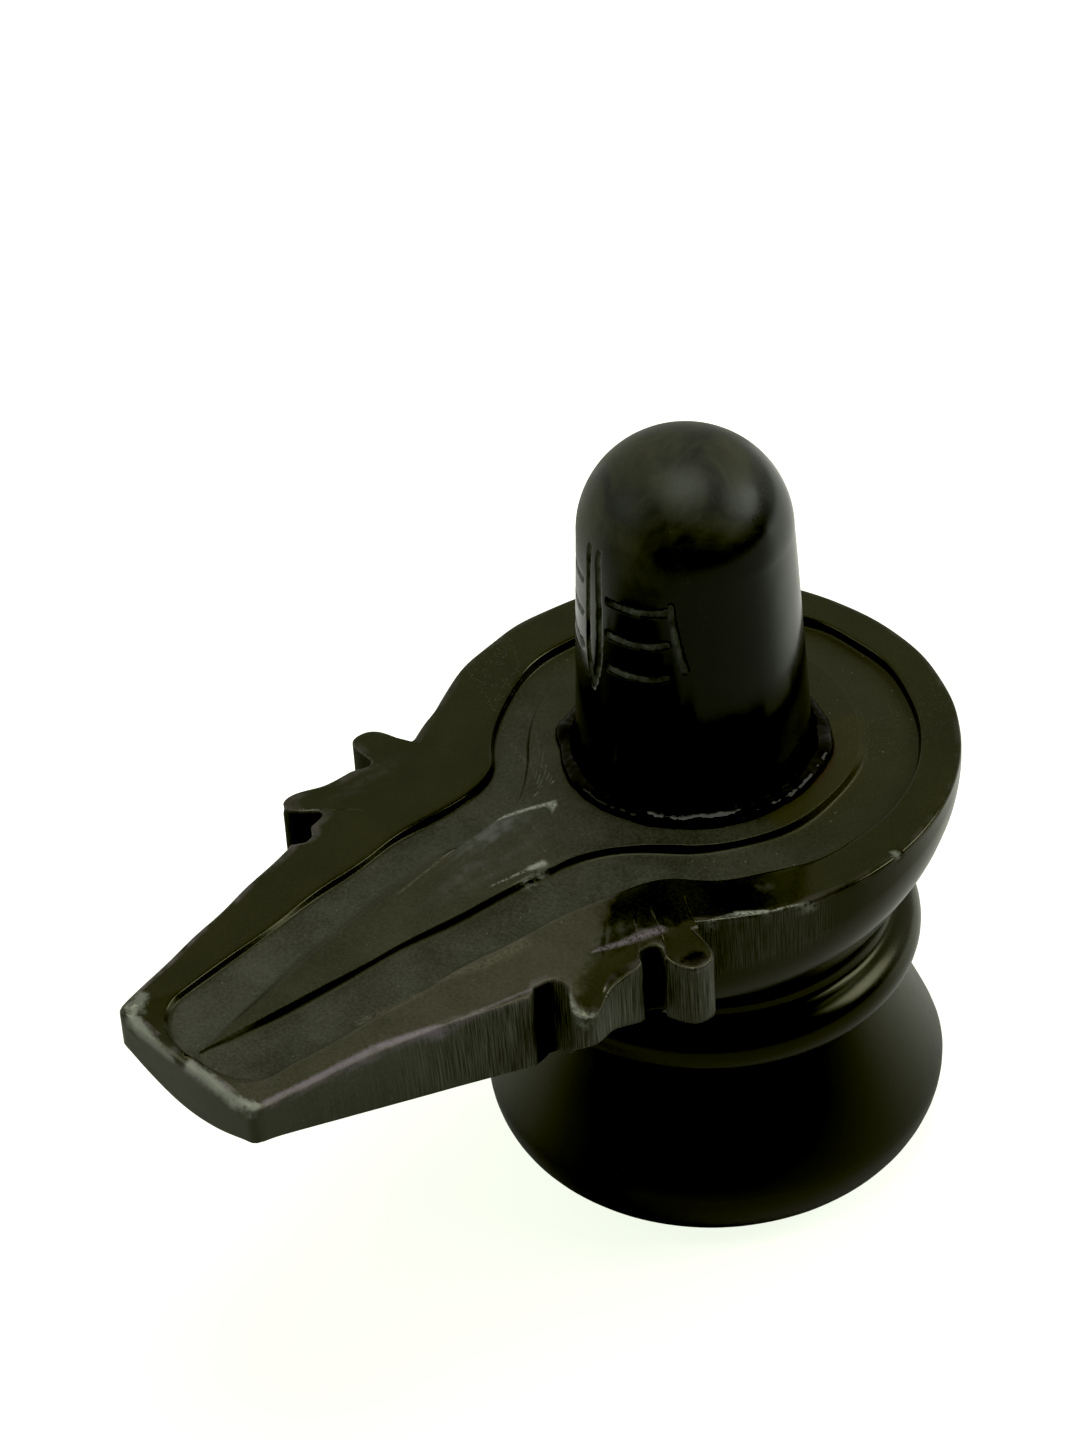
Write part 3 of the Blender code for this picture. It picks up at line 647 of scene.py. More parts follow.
def stack_top(stack, rim_edge, drop, depth):
    """The rim, the channel, the curb with its tongue, and the seat."""
    middle_reach = (SPOUT_ROOT_REACH + SPOUT_REACH) / 2
    rim = hand_cut(whole(channel_half(0)), CHANNEL_SHIFT)
    rim = set_in(rim, waver(rim, 0.00020, 0.012, 4))
    on_lane = ramp(-rim[:, 1], 0.010, 0.034)
    on_right = ramp(rim[:, 0], 0.0, 0.012)
    steep = depth * blend(1.0, 0.80, on_lane) * (1 + waver(rim, 0.30, 0.016, 12) * on_lane)
    run = CHANNEL_WALL_RUN * (1 + 0.2 * on_lane + 2.6 * on_lane * on_right)
    wall_foot = set_in(rim, run)
    worn = np.where(rim_edge[:, 1] < -middle_reach, drop, 0.0)
    for share in (0.03, 0.09, 0.17, 0.26, 0.36, 0.47, 0.58, 0.69, 0.79, 0.88, 0.95):
        plan = blend(rim_edge, rim, share)
        stack.add(plan, PLATE_TOP - lug_fall(plan) - worn - (drop - worn) * (1 - share) ** 2)
    stack.add(rim, PLATE_TOP - worn - 0.00006)
    hard = 1 - on_lane * on_right
    soft = 1 - 0.8 * hard
    for share, left, fallen, shine in ((0.25, 0.7, 0.22, 0.4), (0.65, 0.4, 0.75, 0.7)):
        height = PLATE_TOP - worn * left - steep * fallen
        stack.add(blend(rim, wall_foot, share), height, hollowed=soft, polished=shine * hard)
    stack.add(wall_foot, PLATE_TOP - steep * 0.97, hollowed=1 - 0.5 * hard, polished=0.6 * hard)

    curb = curb_loop(0)
    curb = set_in(curb, waver(curb, 0.00014, 0.013, 9) * ramp(curb[:, 1], -0.074, -0.066))
    down = -curb[:, 1]
    turned_back = ramp(np.arctan2(curb[:, 1], np.abs(curb[:, 0])), math.radians(12), math.radians(60))
    soft = np.maximum(turned_back, ramp(down, 0.066, 0.079))
    left = ramp(-curb[:, 0], 0.001, 0.004) * ramp(down, 0.012, 0.020)
    soft = np.maximum(soft, 0.75 * left * ramp(down, 0.030, 0.036))
    low = depth * (1 - 0.55 * soft) * (1 + waver(curb, 0.15, 0.014, 15))
    outset = CHANNEL_WALL_RUN * (0.8 + 4.0 * soft)
    curb_foot = set_in(curb, -outset)
    tip = ramp(down, 0.068, 0.0755)[:, None]
    curb_foot = blend(curb_foot, curb_loop(CHANNEL_WALL_RUN), tip)
    seat = round_loop(SEAT_RADIUS)
    for share in (0.06, 0.16, 0.28, 0.42, 0.57, 0.72, 0.85, 0.95):
        sag = 0.00008 * math.sin(share * math.pi)
        height = PLATE_TOP - blend(steep, low, share) - sag
        stack.add(blend(wall_foot, curb_foot, share), height, hollowed=1.0)
    top = PLATE_TOP - CURB_DROP
    fall = low - CURB_DROP
    hard = 0.9 * (1 - soft)
    face = ((0.12, 0.93, 0.5, 0.6), (0.45, 0.55, 1.0, 1.0), (0.8, 0.18, 1.0, 0.8))
    for share, left, dulled, shine in face:
        height = top - fall * left
        stack.add(blend(curb_foot, curb, share), height, hollowed=1 - dulled * hard, polished=shine * hard)
    tongue = 0.85 - 0.45 * ramp(down, 0.034, 0.055)
    stack.add(curb, top - 0.00006, hollowed=tongue)
    for share in (0.008, 0.025, 0.06, 0.11, 0.18, 0.27, 0.38, 0.50, 0.63, 0.76, 0.88, 0.97):
        stack.add(blend(curb, seat, share), top, hollowed=blend(tongue, 0.85, share))
    stack.add(seat, top - 0.0001, hollowed=0.3)
    for loop in (seat, round_loop(0.007), round_loop(0.001)):
        stack.add(loop, top - SEAT_DEPTH, hollowed=1.0)


def mesh_of_stack(name, stack):
    """A closed mesh through the loops, with a small cap at each end."""
    loops = np.array(stack.loops)
    rows, around, _ = loops.shape
    index = np.arange(rows * around).reshape(rows, around)
    right = np.roll(index, -1, axis=1)
    quads = np.stack((index[:-1], index[1:], right[1:], right[:-1]), axis=-1).reshape(-1, 4)
    faces = quads.tolist() + [index[0].tolist(), index[-1][::-1].tolist()]
    mesh = bpy.data.meshes.new(name)
    mesh.from_pydata(loops.reshape(-1, 3).tolist(), [], faces)
    mesh.validate()
    return mesh


def store(mesh, name, values):
    attribute = mesh.attributes.new(name, "FLOAT", "POINT")
    attribute.data.foreach_set("value", np.ascontiguousarray(values, dtype=np.float32).ravel())


def away_from(points, place):
    return np.linalg.norm(points - np.array(place), axis=1)


def near_line(places, line):
    """The plan distance of each point to a line of joined points."""
    nearest = np.full(len(places), 1.0)
    for start, end in zip(line, line[1:]):
        start, way = np.array(start), np.array(end) - np.array(start)
        share = np.clip((places[:, :2] - start) @ way / (way @ way), 0, 1)
        away = np.linalg.norm(places[:, :2] - start - share[:, None] * way, axis=1)
        nearest = np.minimum(nearest, away)
    return nearest


def beside_line(places, line):
    """How far each point lies to the side of a line of joined points, and how far along it."""
    nearest = np.full(len(places), 1.0)
    aside, along = np.zeros(len(places)), np.zeros(len(places))
    run = 0.0
    for number, (start, end) in enumerate(zip(line, line[1:])):
        way = np.array(end) - np.array(start)
        length = math.hypot(*way)
        way /= length
        from_start = places[:, :2] - np.array(start)
        forward = from_start @ way
        across = from_start @ np.array((-way[1], way[0]))
        away = np.hypot(forward - np.clip(forward, 0, length), across)
        held = np.clip(forward, 0 if number else -1, length if number < len(line) - 2 else 1)
        closer = away < nearest
        nearest = np.where(closer, away, nearest)
        aside = np.where(closer, np.copysign(np.hypot(forward - held, across), across), aside)
        along = np.where(closer, run + held, along)
        run += length
    return np.column_stack((aside, along, 0 * along)), run


def knock_about(mesh):
    """Raises the ridge, scoops each chip out of its edge, and notes where the stone is fresh, where it has
    scuffs and a little painted sheen on the ridge, and where shade is painted in the slots.
    """
    count = len(mesh.vertices)
    places = np.empty(count * 3, np.float32)
    normals = np.empty(count * 3, np.float32)
    mesh.vertices.foreach_get("co", places)
    mesh.vertex_normals.foreach_get("vector", normals)
    places = places.reshape(-1, 3).astype(float)
    normals = normals.reshape(-1, 3).astype(float)
    on_top = ramp(places[:, 2], PLATE_TOP - 0.002, PLATE_TOP - 0.0012)
    ridge = np.exp(-((near_line(places, RIDGE) / RIDGE_WIDTH) ** 2)) * on_top
    ridge *= 1 + waver(places, 0.5, 0.0019, 31)
    places[:, 2] += RIDGE_HEIGHT * ridge
    fresh = np.zeros(count)
    for number, (middle, reach, depth) in enumerate(CHIPS):
        away = away_from(places, middle)
        rough = 1 + waver(places, 0.4, 0.0012, 40 + number)
        share = np.clip(1 - (away / (reach * rough)) ** 2, 0, 1)
        places -= normals * (depth * np.sqrt(share))[:, None] * rough[:, None]
        fresh = np.maximum(fresh, ramp(share, 0.02, 0.5))
    mesh.vertices.foreach_set("co", places.astype(np.float32).ravel())
    # Painted shade: how deep each point lies in a slot or in a notch by the lugs
    slot_shade = np.zeros(count)
    deep = ramp(-places[:, 2], -PLATE_TOP + 0.0001, -PLATE_TOP + 0.0004)
    for place, reach in SLOT_SHADE:
        away = away_from(places[:, :2], place)
        slot_shade = np.maximum(slot_shade, deep * (1 - ramp(away, reach * 0.6, reach)))
    store(mesh, "slot_shade", slot_shade)
    for number, row in enumerate(LINES_AND_GLINTS):
        held = mesh.attributes.new("line_%d" % number, "FLOAT_VECTOR", "POINT")
        held.data.foreach_set("vector", beside_line(places, row[0])[0].astype(np.float32).ravel())
    for line, half_width, name in CURB_BANDS:
        away = near_line(places, line)
        store(mesh, name, on_top * (1 - ramp(away, half_width * 0.5, half_width * 1.4)))
    # The ridge takes a little of the scuff colour too, a painted sheen on it; the listed places are real
    # scuffs
    scuffs_and_ridge_sheen = 0.2 * ridge
    for (x, y), across, along, strength in SCUFFS:
        away = np.hypot((places[:, 0] - x) / across, (places[:, 1] - y) / along)
        scuffs_and_ridge_sheen = np.maximum(scuffs_and_ridge_sheen, strength * on_top * (1 - ramp(away, 0.3, 1.1)))
    store(mesh, "fresh", fresh)
    store(mesh, "scuffs_and_ridge_sheen", scuffs_and_ridge_sheen)


# Shader groups for the finishes that more than one stone surface shares


class Wiring:
    """Adds nodes to a tree and joins them. An input takes a socket or a plain value."""

    def __init__(self, tree):
        self.tree = tree

    def put(self, value, target):
        if isinstance(value, bpy.types.NodeSocket):
            self.tree.links.new(value, target)
        else:
            target.default_value = (*value, 1.0) if target.type == "RGBA" else value

    def node(self, kind, inputs=None, **settings):
        """A new node's outputs."""
        made = self.tree.nodes.new(kind)
        for key, value in settings.items():
            setattr(made, key, value)
        for key, value in (inputs or {}).items():
            self.put(value, made.inputs[key])
        return made.outputs

    def math(self, operation, a, b=0.0, c=0.0, clamp=False):
        return self.node("ShaderNodeMath", {0: a, 1: b, 2: c}, operation=operation, use_clamp=clamp)[0]

    def times(self, a, b, plus=None, clamp=False):
        """The product of two values, and a third added to it."""
        if plus is None:
            return self.math("MULTIPLY", a, b, clamp=clamp)
        return self.math("MULTIPLY_ADD", a, b, plus, clamp=clamp)

    def vector(self, operation, a, b):
        inputs = {0: a, "Scale" if operation == "SCALE" else 1: b}
        return self.node("ShaderNodeVectorMath", inputs, operation=operation)[0]

    def along(self, place, way):
        """How far a place lies along a direction."""
        return self.node("ShaderNodeVectorMath", {0: place, 1: way}, operation="DOT_PRODUCT")["Value"]

    def axes(self, vector):
        return self.node("ShaderNodeSeparateXYZ", {0: vector})

    def combined(self, x, y, z=0.0):
        return self.node("ShaderNodeCombineXYZ", {0: x, 1: y, 2: z})[0]

    def remap(self, value, low, high, to_low=0.0, to_high=1.0, smooth=False):
        kind = "SMOOTHSTEP" if smooth else "LINEAR"
        inputs = dict(enumerate((value, low, high, to_low, to_high)))
        return self.node("ShaderNodeMapRange", inputs, interpolation_type=kind, clamp=True)[0]

    def mix(self, share, a, b):
        return self.node("ShaderNodeMix", {0: share, 6: a, 7: b}, data_type="RGBA")[2]

    def toned(self, share, colour, low, high):
        """A colour made darker or lighter, from one factor to another."""
        return self.mix(share, tinted(colour, low), tinted(colour, high))

    def over(self, colour, mask, strength, tone):
        """A colour with another laid over it where the mask says, as strongly as given."""
        return self.mix(self.times(mask, strength), colour, tone)

    def noise(self, place, scale, detail=3.0, roughness=0.5, distortion=0.0):
        inputs = {"Vector": place, "Scale": scale, "Detail": detail, "Roughness": roughness}
        return self.node("ShaderNodeTexNoise", {**inputs, "Distortion": distortion})["Fac"]

    def group(self, tree, **values):
        inputs = {name.replace("_", " ").capitalize(): value for name, value in values.items()}
        return self.node("ShaderNodeGroup", inputs, node_tree=tree)

    def attribute(self, name, output="Fac"):
        return self.node("ShaderNodeAttribute", attribute_name=name)[output]

    def dress(self, height, strength, distance, **values):
        """Sets the surface shader, with a bump from a height."""
        bump = {"Height": height, "Strength": strength, "Distance": distance}
        shader = self.tree.nodes["Principled BSDF"]
        self.put(self.node("ShaderNodeBump", bump)[0], shader.inputs["Normal"])
        for name, value in values.items():
            self.put(value, shader.inputs[name.replace("_", " ")])

    def place(self):
        return self.node("GeometryNodeInputPosition")[0]

    def moved(self, geometry, value, kind="Offset"):
        """A surface moved by an offset or to a position."""
        return self.node("GeometryNodeSetPosition", {"Geometry": geometry, kind: value})[0]

    def pushed(self, geometry, distance):
        """A surface moved out along its own normals."""
        normal = self.node("GeometryNodeInputNormal")[0]
        return self.moved(geometry, self.vector("SCALE", normal, distance))


def add_socket(tree, name, side, kind="NodeSocketFloat", default=None, low=None, high=None):
    socket = tree.interface.new_socket(name=name, in_out=side, socket_type=kind)
    for key, value in (("default_value", default), ("min_value", low), ("max_value", high)):
        if value is not None:
            setattr(socket, key, value)


def open_group(name, inputs, outputs):
    """A shader group and its sockets. An input is a vector, or a start value with its limits."""
    tree = bpy.data.node_groups.new(name, "ShaderNodeTree")
    for label, values in inputs.items():
        if values == "vector":
            add_socket(tree, label, "INPUT", "NodeSocketVector")
        else:
            add_socket(tree, label, "INPUT", "NodeSocketFloat", *values)
    for label in outputs:
        add_socket(tree, label, "OUTPUT")
    w = Wiring(tree)
    return tree, w, w.node("NodeGroupInput")


def stone_grain_group():
    """Cloudy tone, fine grain and pale flecks of a close black stone."""
    inputs = {"Vector": "vector", "Cloud size": (0.012, 0.0), "Fleck amount": (0.5, 0.0, 1.0)}
    tree, w, given = open_group("Stone grain", inputs, ("Tone", "Height", "Flecks"))
    place = given["Vector"]
    scale = w.math("DIVIDE", 1.0, given["Cloud size"])
    cloud = w.noise(place, scale, detail=4.0, roughness=0.55, distortion=0.4)
    fine = w.noise(place, 2600.0, roughness=0.6)
    middle = w.noise(place, 520.0, roughness=0.55)
    tone = w.remap(w.times(cloud, 0.45, w.times(fine, 0.55)), 0.36, 0.64)
    height = w.times(fine, 0.5, w.times(middle, 0.5))
    cells = w.node("ShaderNodeTexVoronoi", {"Vector": place, "Scale": 900.0})
    spot = w.remap(cells["Distance"], 0.12, 0.05)
    chosen = w.math("GREATER_THAN", w.noise(place, 310.0, detail=1.0), 0.58)
    flecks = w.times(w.times(spot, chosen), given["Fleck amount"])
    w.node("NodeGroupOutput", {"Tone": tone, "Height": height, "Flecks": flecks})
    return tree


def fine_scratch_group():
    """Long thin rubbing scratches, stretched along one way."""
    inputs = {"Vector": "vector", "Turn": (0.6,), "Amount": (0.5, 0.0, 1.0)}
    tree, w, given = open_group("Fine scratches", inputs, ("Scratches",))
    turn = {"Vector": given["Vector"], "Angle": given["Turn"]}
    turned = w.node("ShaderNodeVectorRotate", turn, rotation_type="Z_AXIS")
    drawn = w.vector("MULTIPLY", turned[0], (60.0, 2600.0, 400.0))
    lines = w.noise(drawn, 1.0, detail=2.0, roughness=0.6, distortion=0.3)
    patches = w.noise(given["Vector"], 160.0, detail=2.0)
    marks = w.times(w.remap(lines, 0.62, 0.72), w.remap(patches, 0.45, 0.65))
    w.node("NodeGroupOutput", {"Scratches": w.times(marks, given["Amount"])})
    return tree


def rasp_group():
    """Upright marks of a rasp, that follow the distance along the wall."""
    inputs = {"Along": (), "Up": (), "Pitch": (0.00045, 0.0001)}
    tree, w, given = open_group("Rasp marks", inputs, ("Height", "Bright"))
    across = w.math("DIVIDE", given["Along"], given["Pitch"])
    place = w.combined(across, w.times(given["Up"], 160.0))
    marks = w.noise(place, 1.0, roughness=0.6)
    patches = w.noise(w.vector("MULTIPLY", place, (0.12, 0.6, 1.0)), 1.0, detail=2.0)
    deep = w.times(w.remap(marks, 0.34, 0.66), w.remap(patches, 0.25, 0.7, 0.6, 1.0))
    w.node("NodeGroupOutput", {"Height": deep, "Bright": w.remap(deep, 0.12, 0.85)})
    return tree


def new_material(name):
    material = bpy.data.materials.new(name)
    material.use_nodes = True
    w = Wiring(material.node_tree)
    return material, w, w.node("ShaderNodeTexCoord")["Object"]


def tinted(colour, factor):
    return tuple(factor * c for c in colour)


def drawn_line(w, number, line, first, last, broken, breaks):
    """How strongly a place lies on one of the scraped lines or painted highlight lines, which tapers and is
    broken up.
    """
    length = sum(math.dist(a, b) for a, b in zip(line, line[1:]))
    aside, along, _ = w.axes(w.attribute("line_%d" % number, "Vector"))
    half = w.remap(along, 0.0, length, first, last)
    aside = w.math("DIVIDE", w.math("ABSOLUTE", aside), half)
    aside = w.times(broken, 1.6, w.math("SUBTRACT", aside, 0.8))
    past = w.math("ABSOLUTE", w.math("SUBTRACT", along, length / 2))
    ends = w.remap(past, length / 2 + 0.0004, length / 2 - 0.0004, smooth=True)
    kept = w.remap(broken, 0.40, 0.46 + 0.10 * breaks, 1 - breaks, 1.0)
    mask = w.remap(aside, 1.1, 0.1, smooth=True)
    return w.times(w.times(mask, ends), kept)


def black_stone(groups, colours, pitch):
    """The base: rubbed tops, matte channel, rasped side wall, polished foot and fresh chips, with painted
    shade in the slots, painted highlights on the edges, the lip and the tip face, and the near rim painted
    paler past the shaft's reflection.
    """
    material, w, place = new_material("Carved black stone")
    grain = w.group(groups["grain"], vector=place, cloud_size=0.0075, fleck_amount=0.8)
    scratches = w.group(groups["scratches"], vector=place, turn=0.9, amount=0.7)[0]
    x, y, z = w.axes(place)
    rasp = w.group(groups["rasp"], along=w.attribute("along"), up=z, pitch=pitch)
    rasped, hollowed, polished = (w.attribute(name) for name in FINISHES)
    slot_shade = w.attribute("slot_shade")
    patchy = w.remap(w.noise(place, 700.0, detail=4.0), 0.30, 0.62)
    scuffs_and_ridge_sheen = w.times(w.attribute("scuffs_and_ridge_sheen"), patchy)
    fresh = w.times(w.attribute("fresh"), w.remap(w.noise(place, 1300.0, detail=3.0), 0.35, 0.6))
    handled = w.remap(y, -0.012, -0.072, smooth=True)
    # The near rim is painted paler past the edge of the shaft's reflection, which is left dark: dust, and
    # painted light from the bright surround
    across = w.along(place, ACROSS_REFLECTION_EDGE)
    across = w.times(w.noise(place, 600.0, detail=4.0), 0.003, across)
    dust_and_painted_light = w.remap(across, -0.0008, -0.0030, smooth=True)
    dust_and_painted_light = w.times(dust_and_painted_light, w.remap(y, -0.022, -0.030, smooth=True))
    near_rim_dust_and_light = w.times(dust_and_painted_light, w.remap(x, -0.004, 0.010, smooth=True))
    marked = w.remap(y, -0.066, -0.046, 0.12, 1.0, smooth=True)

    red, green, blue = colours.rubbed
    rim = (red, green, blue * 0.45)
    colour = w.toned(grain["Tone"], rim, 0.5, 1.7)
    # The paler tone of the near rim: dust, and painted light that stops where the shaft's dark reflection
    # lies
    dust = w.mix(grain["Tone"], (0.038, 0.037, 0.025), (0.085, 0.081, 0.058))
    colour = w.over(colour, near_rim_dust_and_light, 0.9, dust)
    floor = w.toned(grain["Tone"], colours.hollowed, 0.45, 1.5)
    round_floor = w.toned(grain["Tone"], colours.rubbed, 1.2, 2.6)
    floor = w.mix(w.remap(y, 0.010, -0.026, smooth=True), round_floor, floor)
    tongue = w.times(w.remap(z, PLATE_TOP - 0.0008, PLATE_TOP - 0.0004), hollowed)
    tongue = w.times(tongue, w.remap(y, -0.020, -0.034, smooth=True))
    olive = w.mix(grain["Tone"], (0.026, 0.026, 0.015), (0.050, 0.048, 0.030))
    floor = w.mix(w.times(tongue, 0.85), floor, olive)
    colour = w.mix(hollowed, colour, floor)
    on_plate = w.remap(y, -0.0265, -0.0215, 1.0, 0.45)
    lines = w.toned(rasp["Bright"], colours.rasped, 0.14, 1.5)
    lines = w.mix(on_plate, tinted(colours.rubbed, 0.6), lines)
    plain = w.toned(grain["Tone"], colours.rasped, 0.55, 0.85)
    wall = w.mix(marked, plain, lines)
    # Painted reflection: the tip face is coloured lighter, for the bright table in front of it that it
    # reflects
    wall = w.mix(w.remap(y, -0.072, -0.0785), wall, tinted(colours.rasped, 0.85))
    colour = w.mix(rasped, colour, wall)
    colour = w.mix(polished, colour, colours.polished)
    # Painted highlight and wear: the arris is painted lilac-pale in broken patches, more towards the spout,
    # for the sheen along the edges as well as their wear
    worn = w.times(w.attribute("edge"), w.remap(w.noise(place, 380.0, detail=5.0), 0.40, 0.66))
    worn = w.times(worn, w.times(handled, 0.30, 0.10))
    colour = w.mix(worn, colour, (0.34, 0.30, 0.32))
    colour = w.over(colour, scratches, 0.015, colours.fresh)
    # Scuffs, and a little painted sheen on the ridge
    colour = w.over(colour, scuffs_and_ridge_sheen, 0.38, (0.36, 0.37, 0.38))
    colour = w.over(colour, w.attribute("khaki"), 0.8, (0.024, 0.022, 0.004))
    colour = w.over(colour, w.attribute("brown"), 0.7, (0.034, 0.015, 0.009))
    dry = w.math("MAXIMUM", hollowed, near_rim_dust_and_light)
    flecks = w.times(grain["Flecks"], w.times(dry, 0.55, 0.03))
    colour = w.mix(flecks, colour, colours.fresh)
    colour = w.over(colour, fresh, 0.85, colours.fresh)
    top = w.remap(z, PLATE_TOP - 0.0020, PLATE_TOP - 0.0013)
    broken = w.noise(place, 1900.0, detail=4.0, roughness=0.65)
    # The scraped lines, and the painted highlights laid as lines along the edges and the lip
    for number, (line, first, last, strength, breaks, tone) in enumerate(LINES_AND_GLINTS):
        mask = w.times(drawn_line(w, number, line, first, last, broken, breaks), top)
        colour = w.over(colour, mask, strength, tone)
    # Painted shade: the slots and the notches by the lugs are coloured near black
    colour = w.over(colour, slot_shade, 0.95, (0.0012, 0.0012, 0.0008))

    rough = w.times(grain["Tone"], 0.06, 0.10)
    on_foot = w.remap(z, 0.026, 0.022, 0.12, 0.22)
    shares = (0.38, 0.20, 0.30, on_foot, -0.05, 0.40)
    for mask, share in zip((hollowed, near_rim_dust_and_light, rasped, polished, scuffs_and_ridge_sheen, slot_shade), shares):
        rough = w.times(mask, share, rough)
    rough = w.times(fresh, 0.35, rough, clamp=True)

    height = w.times(grain["Height"], w.times(hollowed, 0.9, 0.25))
    height = w.times(height, w.times(polished, -0.8, 1.0))
    rasp_height = w.times(w.times(rasp["Height"], rasped), marked)
    height = w.times(rasp_height, 1.8, height)
    height = w.times(scratches, -0.06, height)
    w.dress(height, 0.6, 0.00007, Base_Color=colour, Roughness=rough, Specular_Tint=(0.98, 0.99, 0.64))
    return material


def shaft_stone(groups, colours):
    """The shaft: polished sides, a softly rubbed dome painted paler where the light from above falls, and
    carved lines painted pale, as paler stone with a painted highlight.
    """
    material, w, place = new_material("Polished black stone")
    grain = w.group(groups["grain"], vector=place, cloud_size=0.009, fleck_amount=0.35)
    scratches = w.group(groups["scratches"], vector=place, turn=0.3, amount=0.6)[0]
    carved = w.attribute("carved")
    # Painted light: the dome is rubbed matte and painted up to five times paler, further down on the side
    # away from the view, for the light falling on it from above
    leaning = w.along(place, (-DOME_LIGHT_LEAN * math.cos(VIEW_TURN), -DOME_LIGHT_LEAN * math.sin(VIEW_TURN), 1.0))
    leaning = w.times(w.noise(place, 190.0, detail=4.0, distortion=0.4), 0.010, leaning)
    dome = w.remap(leaning, SHAFT_HIGH.z - 0.0085, SHAFT_HIGH.z + 0.0010, smooth=True)
    mottle = w.remap(w.noise(place, 150.0, detail=5.0, roughness=0.6, distortion=0.6), 0.36, 0.64)
    rubbed = w.toned(mottle, colours.rubbed, 0.8, 5.0)
    colour = w.mix(dome, w.toned(mottle, colours.polished, 0.5, 1.8), rubbed)
    colour = w.over(colour, scratches, 0.06, colours.fresh)
    colour = w.over(colour, grain["Flecks"], 0.3, colours.fresh)
    # The carved lines are painted pale: paler stone in them, and a painted highlight on their flanks
    dust_and_painted_light = w.times(carved, w.remap(w.noise(place, 430.0, detail=4.0), 0.34, 0.58, 0.08, 1.0))
    colour = w.over(colour, dust_and_painted_light, 0.9, colours.fresh)
    rough = w.times(grain["Tone"], 0.08, 0.13)
    dull = w.times(dome, w.remap(mottle, 0.0, 1.0, 0.7, 1.0))
    rough = w.times(dull, 0.36, rough)
    rough = w.times(carved, 0.4, rough, clamp=True)
    relief = w.times(grain["Height"], w.times(dome, 0.6, 0.15))
    relief = w.times(scratches, -0.3, relief)
    w.dress(relief, 0.35, 0.00005, Base_Color=colour, Roughness=rough, Specular_Tint=(0.92, 1.0, 1.0))
    return material


def compound_gloss(groups, colours):
    """The setting compound: dark and glossy, with dust caught in it."""
    material, w, place = new_material("Setting compound")
    grain = w.group(groups["grain"], vector=place, cloud_size=0.003, fleck_amount=0.8)
    colour = w.toned(grain["Tone"], colours.compound, 0.4, 1.0)
    colour = w.over(colour, grain["Flecks"], 0.3, colours.fresh)
    rough = w.times(grain["Tone"], 0.08, 0.04)
    relief = w.noise(place, 300.0, detail=2.0)
    w.dress(relief, 0.9, 0.0006, Base_Color=colour, Roughness=rough, Specular_IOR_Level=0.16)
    return material


def shared_groups():
    """The shader groups, built once."""
    names = (
        ("grain", "Stone grain", stone_grain_group),
        ("scratches", "Fine scratches", fine_scratch_group),
        ("rasp", "Rasp marks", rasp_group),
    )
    return {key: bpy.data.node_groups.get(name) or make() for key, name, make in names}


# Geometry trees


def finish_tree(w, geometry, material):
    """Ends a geometry tree: real faces, shaded smooth, in one material."""
    for kind in ("GeometryNodeRealizeInstances", "GeometryNodeSetShadeSmooth"):
        geometry = w.node(kind, {0: geometry})[0]
    geometry = w.node("GeometryNodeSetMaterial", {0: geometry, "Material": material})[0]
    w.node("NodeGroupOutput", {0: geometry})


def wander(w, geometry, size, reach, seed):
    """Moves the surface a little in and out, as handwork does, but not where it rests on the table."""
    place = w.place()
    shifted = w.vector("ADD", place, (seed, seed * 0.7, seed * 1.3))
    amount = w.math("SUBTRACT", w.noise(shifted, w.math("DIVIDE", 1.0, reach), detail=2.0), 0.5)
    amount = w.times(amount, w.remap(w.axes(place)[2], 0.0, 0.0020))
    return w.pushed(geometry, w.times(amount, size))


def open_tree(name, sizes):
    tree = bpy.data.node_groups.new(name, "GeometryNodeTree")
    add_socket(tree, "Geometry", "INPUT", "NodeSocketGeometry")
    add_socket(tree, "Geometry", "OUTPUT", "NodeSocketGeometry")
    for label, value in sizes.items():
        add_socket(tree, label, "INPUT", default=value)
    w = Wiring(tree)
    return tree, w, w.node("NodeGroupInput")


def handwork_tree(material, hand_waver):
    """The surface of the base, with broad and fine wandering of the carver's hand."""
    sizes = {"Broad waver": hand_waver, "Fine waver": hand_waver / 4}
    tree, w, given = open_tree("Hand-worked surface", sizes)
    broad = wander(w, given["Geometry"], given["Broad waver"], 0.011, 1.7)
    fine = wander(w, broad, given["Fine waver"], 0.0028, 5.1)
    finish_tree(w, fine, material)
    return tree


